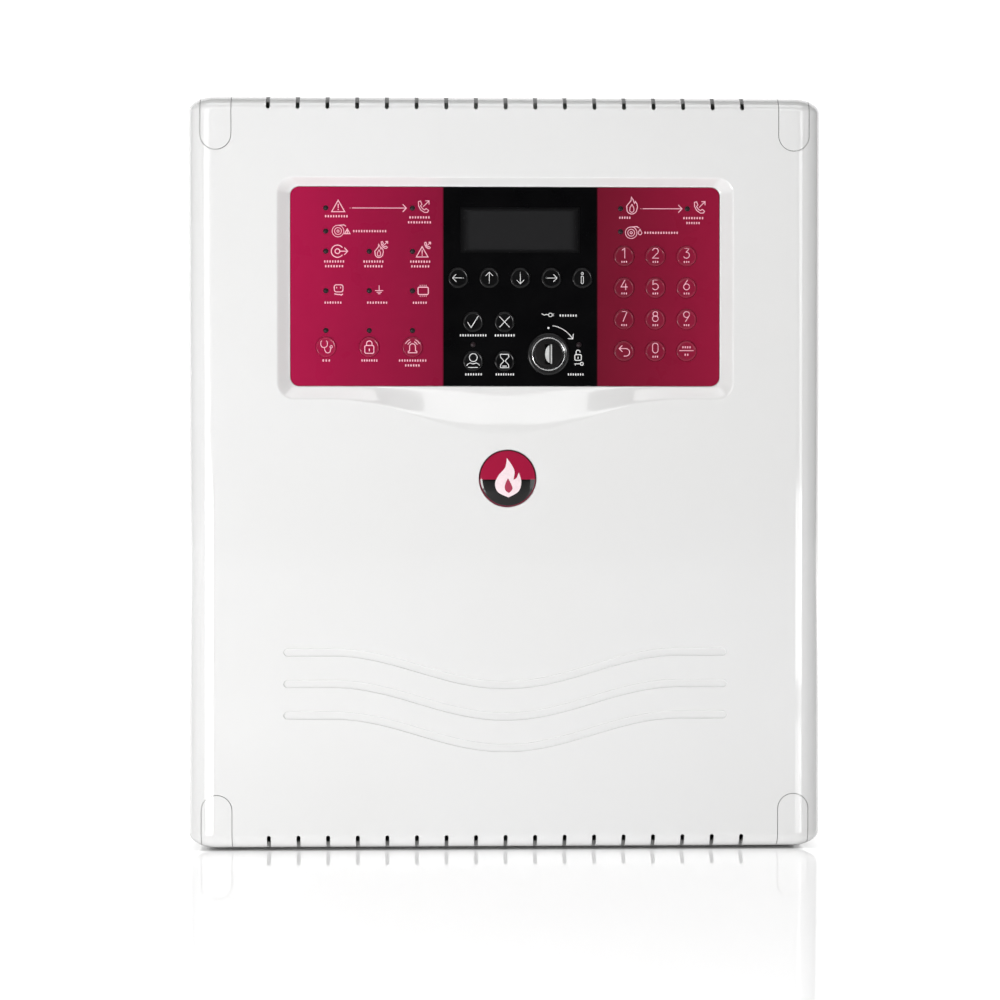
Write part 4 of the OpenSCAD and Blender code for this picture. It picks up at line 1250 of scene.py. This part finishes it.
def make_board_parts():
    """Relays, chips, capacitors, connectors and small parts on the main board, with its printing."""
    relays, black, tin, can, top, ivory = (Kit() for _ in range(6))
    face = BOARD_FACE
    marks = Print(face)
    for z in range(-28, 51, 26):
        relays.box((112, face - 15.5, z), (131, face, z + 15), 0.8)
        marks.line(rounded(121.5, z + 7.5, 21, 17, 0.6, steps=2), 0.25, closed=True)
    for x0, z0, x1, z1, pins in ((14, 26, 36, 48, 24), (58, 36, 72, 56, 20)):
        black.box((x0 + 1, face - 1.6, z0 + 1), (x1 - 1, face - 0.2, z1 - 1), 0.2)
        pitch = (z1 - z0 - 3) / pins
        for z in (z0 + 1.5 + pitch * (k + 0.5) for k in range(pins)):
            tin.brick((x0, face - 0.9, z - 0.2), (x1, face, z + 0.2))
        marks.line(rounded((x0 + x1) / 2, (z0 + z1) / 2, x1 - x0 + 2, z1 - z0 + 2, 0.5, steps=2), 0.25, closed=True)
    for x in (15.5 + 19 / 24 * (k + 0.5) for k in range(24)):
        tin.brick((x - 0.2, face - 0.9, 26), (x + 0.2, face, 48))
    for x in range(-34, 35, 17):
        can.turn([(5.2, 21.9), (6.1, 21.7), (6.3, 21.2), (6.3, 3.6), (5.9, 3.1), (6.3, 2.6), (6.3, 0), (0.01, 0)],
                 x, -22, 40, face, -1)
        top.turn([(0.01, 21.7), (5.1, 21.8), (5.3, 22), (5.5, 21.8), (5.5, 21), (0.01, 21)], x, -22, 40, face, -1)
        marks.line(hoop(x, -22, 7.2), 0.25, closed=True)
    for x in range(6, 77, 14):
        ivory.box((x, face - 9, 78), (x + 7, face, 100), 0.7)
        marks.words(x, x + 7, 75.5, 1.0)
    black.box((-53, face - 6, RIBBON_LOW - 3), (-43, face, RIBBON_LOW + 29), 0.4)
    black.box((-51, face - 9, RIBBON_LOW - 1.5), (-45, face - 5.8, RIBBON_LOW + 27.5), 0.4)
    ivory.box((-38, face - 7, -56), (-14, face, -44), 0.5)
    ivory.box((-36, face - 11, -54.5), (-16, face - 6.8, -45.5), 0.5)
    small = [(x, z) for x in (44, 49) for z in range(8, 60, 4)]
    small += [(x, z) for z in (108, 104) for x in range(-46, 130, 9)] + [(x, 12) for x in range(-10, 38, 6)]
    small += [(x, z) for x in range(84, 103, 6) for z in (-2, 2, 24, 28, 50, 54)]
    black.resistors(tin, small, face)
    marks.words(60, 74, 30, 1.0)
    marks.words(14, 30, 52, 1.2)
    marks.words(-50, -20, 8, 1.2)
    relays.done("relay_cases", "housing", "blue", "relay_blue", ["relays"])
    black.done("board_black_parts", "housing", "black", "component_black", ["board_components"])
    tin.done("board_pins", "housing", "tin", "screw_steel", weighted=False)
    can.done("capacitor_sleeves", "housing", "sleeve", "component_black", angle=50)
    top.done("capacitor_tops", "housing", "aluminium", "screw_steel", angle=50)
    ivory.done("board_ivory_parts", "housing", "ivory", "plunger_ivory")
    marks.done("board_printing", "housing", "ink_white", "circuit_board")
    sounder = Kit()
    sounder.turn([(0.01, 6), (1.5, 7), (1.5, 9.6), (2.0, 10), (9.5, 10), (10.0, 9.5), (11.6, 9.5), (12.3, 9),
                  (12.5, 8.2), (12.5, 0), (0.01, 0)], -30, 34, 64, face, -1)
    sounder.done("sounder_case", "housing", "black", "component_black", ["sounder"], angle=50)


def make_supply():
    """Power supply in a perforated cage, with its windings and heat sink inside."""
    low, high = box_mm("power_supply")
    top, foot = high.z - 4, low.z + 4
    sheet = 1.2
    cage = block((low.x, low.y, foot), (high.x, high.y - 1, top), 1.5)
    cut(cage, block((low.x + sheet, low.y + sheet, foot + sheet), (high.x - sheet, high.y - 2.2, top - sheet), 0.5))
    fuse(cage, block((low.x, high.y - 1.5, low.z), (high.x, high.y, high.z), 1.5))
    holes = Kit()
    for row in range(23):
        for column in range(10 + row % 2):
            x = (low.x + high.x) / 2 + (column - 4.5 - 0.5 * (row % 2)) * 6.4
            holes.plate(arc(x, foot + 30 + 5.55 * row, 2.1, 2.1, 0, 315, 7), low.y - 1, low.y + 2)
    cut(cage, from_bmesh(holes.bm))
    finish_piece(cage, "supply_cage", "housing", "cage")
    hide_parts("power_supply")
    cores, sinks, cans = Kit(), Kit(), Kit()
    cores.box((-135, -38, -10), (-100, -8, 22), 1.0)
    cores.box((-128, -34, 62), (-104, -8, 84), 1.0)
    for shift in (3.4 * i for i in range(6)):
        sinks.box((-94 + shift, -40, -30), (-92.6 + shift, -8, 90), 0.2)
    for z in (38, 52):
        cans.turn([(0.01, -40), (5.5, -40), (6, -39.4), (6, -8), (0.01, -8)], -120, z)
    cores.done("supply_windings", "housing", "yellow", "cage_metal")
    sinks.done("supply_heat_sink", "housing", "aluminium", "cage_metal")
    cans.done("supply_capacitors", "housing", "sleeve", "component_black")
    marks = Print(low.y)
    marks.line(rounded((low.x + high.x) / 2, foot + 14, 66, 18, 1, steps=3), 0.35, closed=True)
    marks.words(low.x + 12, high.x - 12, foot + 17, 1.4)
    marks.words(low.x + 12, high.x - 28, foot + 11, 1.4)
    marks.done("supply_label", "housing", "ink_dark", "cage_metal")


def make_tamper():
    low, high = box_mm("tamper_switch")
    x, z = centre_xz("tamper_switch")
    case, bore, plunger = (Kit() for _ in range(3))
    case.box(low, high, 0.8)
    bore.turn([(2.1, -1), (2.1, 14), (0.01, 14)], x, z, face=low.y)
    case.done("tamper_case", "housing", "black", "component_black", ["tamper_switch"], cutter=bore)
    plunger.turn([(0.01, 0), (3.2, 0.1), (3.8, 0.5), (4, 1.1), (4, 3.8), (3.6, 4), (2, 4.2), (2, 20), (0.01, 20)],
                 x, z, 40, box_mm("tamper_plunger")[0].y)
    plunger.done("plunger_cap", "tamper_plunger", "ivory", "plunger_ivory", ["tamper_plunger"], angle=50)


def make_batteries():
    for node in ("battery_left", "battery_right"):
        low, high = box_mm(node)
        top, x = high.z - 6, (low.x + high.x) / 2
        case, tabs, label = (Kit() for _ in range(3))
        case.box((low.x, low.y, low.z), (high.x, high.y, top - 14), 1.4)
        case.box((low.x + 0.7, low.y + 0.7, top - 14.5), (high.x - 0.7, high.y - 1, top - 12.6), 0.8)
        case.box((low.x, low.y, top - 13), (high.x, high.y, top), 1.4)
        for tab in (x - 67, x + 67):
            tabs.box((tab - 2.4, -57.4, top - 1), (tab + 2.4, -56.6, top + 6), 0.15)
        case.done(f"{node}_case", "housing", "battery", "battery_grey", [node])
        tabs.done(f"{node}_tabs", "housing", "tin", "screw_steel")
        label.box((x - 48, low.y - 0.12, low.z + 18), (x + 48, low.y + 0.2, low.z + 66), 0.1)
        label.done(f"{node}_label", "housing", "label", "battery_grey")
        marks = Print(low.y - 0.12)
        marks.line([(x - 44, low.z + 48), (x + 44, low.z + 48)], 0.8)
        for row, reach in enumerate((40, 26, 34)):
            marks.words(x - 42, x - 42 + reach, low.z + 41 - 7 * row, 2.2)
        marks.fill(rounded(x, low.z + 57, 86, 10, 1.0, steps=3))
        marks.done(f"{node}_label_print", "housing", "ink_dark", "battery_grey")


def make_leads():
    minus = [(-144, -57, -67.8), (-144, -57, -63), (-136, -55, -58), (-112, -53, -56), (-80, -52, -56),
             (-56, -46, -56), (-40, -38, -54), (-31, -31, -51), (-30, -25.2, -50)]
    plus_route = [(144, -57, -67.8), (144, -57, -63), (134, -54, -58), (100, -48, -56.5), (50, -42, -56.5),
                  (10, -38, -55), (-12, -34, -53), (-21, -30, -51), (-22, -25.2, -50)]
    bridge = [(-10, -57, -67.8), (-10, -57, -62), (0, -57, -58), (10, -57, -62), (10, -57, -67.8)]
    black = wires("lead_minus", [minus, bridge], 1.2, "lead_black")
    wires("lead_plus", [plus_route], 1.2, "lead_red")
    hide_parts("battery_leads")
    for paint, places in (("lead_black", (-144, -10, 10)), ("lead_red", (144,))):
        sleeves = Kit()
        for x in places:
            sleeves.box((x - 3.6, -58.6, -73), (x + 3.6, -55.4, -66), 0.7)
            sleeves.box((x - 2, -58.4, -66.4), (x + 2, -55.6, -63.6), 0.8)
        sleeves.done(f"{paint}_sleeves", "housing", paint, "lead_insulation")


def make_ribbon():
    """Flat cable of twenty wires from the main board, round the hinge, to the keypad board."""
    route = [(-48, -22.9), (-48, -36), (-52, -49), (-64, -54.5), (-90, -55), (-120, -55), (-140, -56),
             (-150.5, -62), (-153, -71), (-149, -80), (-138, -85.5), (-120, -87.4), (-106, -87.9), (-102.2, -88)]
    line = [Vector(p) for p in spline(route, 6) + [route[-1]]]
    count, width = 20, 26.0
    across = []
    for wire in range(count):
        for step, reach in ((0.0, 0.26), (0.25, 0.44), (0.5, 0.5), (0.75, 0.44)):
            across.append((RIBBON_LOW + width * (wire + step) / count, reach))
    across.append((RIBBON_LOW + width, 0.26))
    rings = []
    for point, side in zip(line, sideways(line)):
        ring = [(*(point + side * reach), z) for z, reach in across]
        rings.append(ring + [(*(point - side * reach), z) for z, reach in reversed(across)])
    ribbon = dress(loft(rings), "ribbon_flat_cable", "ribbon", 60, False)
    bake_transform(ribbon)
    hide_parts("ribbon_cable")


# ---------- what the cover carries ----------

def make_keypad_back():
    """Solder joints, chips, connectors and screws on the back of the keypad board."""
    face = BOARD + 1.6
    tin, black, ivory, tabs = (Kit() for _ in range(4))
    marks = Print(face, 1)
    for x, z in map(centre_xz, KEYS):
        tin.joints([(x + dx, z + dz) for dx in (-3.25, 3.25) for dz in (-2.25, 2.25)], 0.75, face, 1)
        marks.line(rounded(x, z, 9, 7.5, 0.5, steps=2), 0.2, closed=True)
    tin.joints([(x + dx, z) for x, z in LAMPS for dx in (-1.27, 1.27)], 0.65, face, 1)
    tin.joints([(-12 + 2.54 * i, 138.5) for i in range(16)], 0.7, face, 1)
    for x0, z0, x1, z1 in ((-20, 82, -6, 96), (28, 84, 38, 92), (-78, 98, -70, 104)):
        black.box((x0, face, z0), (x1, face + 1.5, z1), 0.2, 1)
        for x in (x0 + 1.2 + 0.8 * k for k in range(round((x1 - x0 - 1.5) / 0.8))):
            tin.brick((x - 0.18, face, z0 - 1), (x + 0.18, face + 0.8, z1 + 1))
    small = [(x, z) for x in range(-84, -50, 7) for z in (86, 84)] + [(x, 52) for x in range(50, 91, 5)]
    black.resistors(tin, small, face, 1)
    ivory.box((-102, face, RIBBON_LOW - 2), (-95, face + 4, RIBBON_LOW + 28), 0.5, 1)
    tin.done("keypad_solder", "cover", "tin", "screw_steel", weighted=False)
    black.done("keypad_chips", "cover", "black", "component_black")
    ivory.done("keypad_connector", "cover", "ivory", "plunger_ivory")
    marks.done("keypad_printing", "cover", "ink_white", "circuit_board")
    pan_screws("keypad_fixings", "cover", ["keypad_screws"], POSTS, face, 2.8, 2.0, 1.45, 5.5, 1)
    rear = box_mm("lock_body")[1].y
    for x in (LOCK_X - 4.5, LOCK_X + 4.5):
        tabs.brick((x - 0.4, rear, LOCK_Z - 3), (x + 0.4, rear + 7, LOCK_Z + 3))
    tabs.done("lock_terminals", "cover", "tin", "screw_steel")


def make_screws():
    holes = [(x, z) for x in (BOARD_LOW.x + 6, 46, BOARD_HIGH.x - 6) for z in (BOARD_LOW.z + 6, BOARD_HIGH.z - 20)]
    pan_screws("board_fixings", "housing", ["board_screws"], holes, BOARD_FACE, 2.8, 2.0, 1.45, 8)
    height = 2.52
    for name, place in zip(CORNERS, WELLS):
        node = f"screw_{name}"
        head = box_mm(node)[0].y
        pan_screws(f"{node}_steel", node, [node], [place], head + height, 3.6, height, 2.0, 18)


# ---------- put it together ----------

def paint_cad(node, paint):
    """Gives a CAD node that stays visible its material."""
    node_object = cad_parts[node]
    slots = node_object.material_slots
    if not slots:
        node_object.data.materials.append(PAINT[paint].material)
    for material_slot in slots:
        material_slot.material = PAINT[paint].material


def make_stage():
    bm = bmesh.new()
    floor_z = -CASE_Z - 1.2
    path = [(-4000, floor_z), (1500, floor_z)]
    path += [(1500 + 900 * math.sin(math.radians(a)), floor_z + 900 * (1 - math.cos(math.radians(a))))
             for a in range(6, 91, 6)]
    path.append((2400, 4500))
    rows = [[bm.verts.new((x, y, z)) for x in (-5000, 5000)] for y, z in path]
    for a, b in zip(rows, rows[1:]):
        bm.faces.new((a[0], a[1], b[1], b[0]))
    floor = from_bmesh(bm, "stage_floor")
    floor.data.shade_smooth()
    floor.data.materials.append(PAINT["stage"].material)


for make in (make_camera, make_light, make_stage, make_cover, make_caps, make_housing, make_keys, make_fascia_marks,
             make_lamps, make_lock, make_plug, make_badge, make_terminals, make_board_parts, make_supply, make_tamper,
             make_batteries, make_leads, make_ribbon, make_keypad_back, make_screws):
    make()
for cad_node, cad_paint in {
        "fascia_panel": "fascia", "display_window": "window", "hinge_pins": "pin_steel", "main_board": "board",
        "keypad_board": "board", "display_module": "black", "tact_switches": "black", "board_spacers": "brass",
        "lock_nut": "steel"}.items():
    paint_cad(cad_node, cad_paint)

bpy.context.scene.view_settings.view_transform = "Standard"
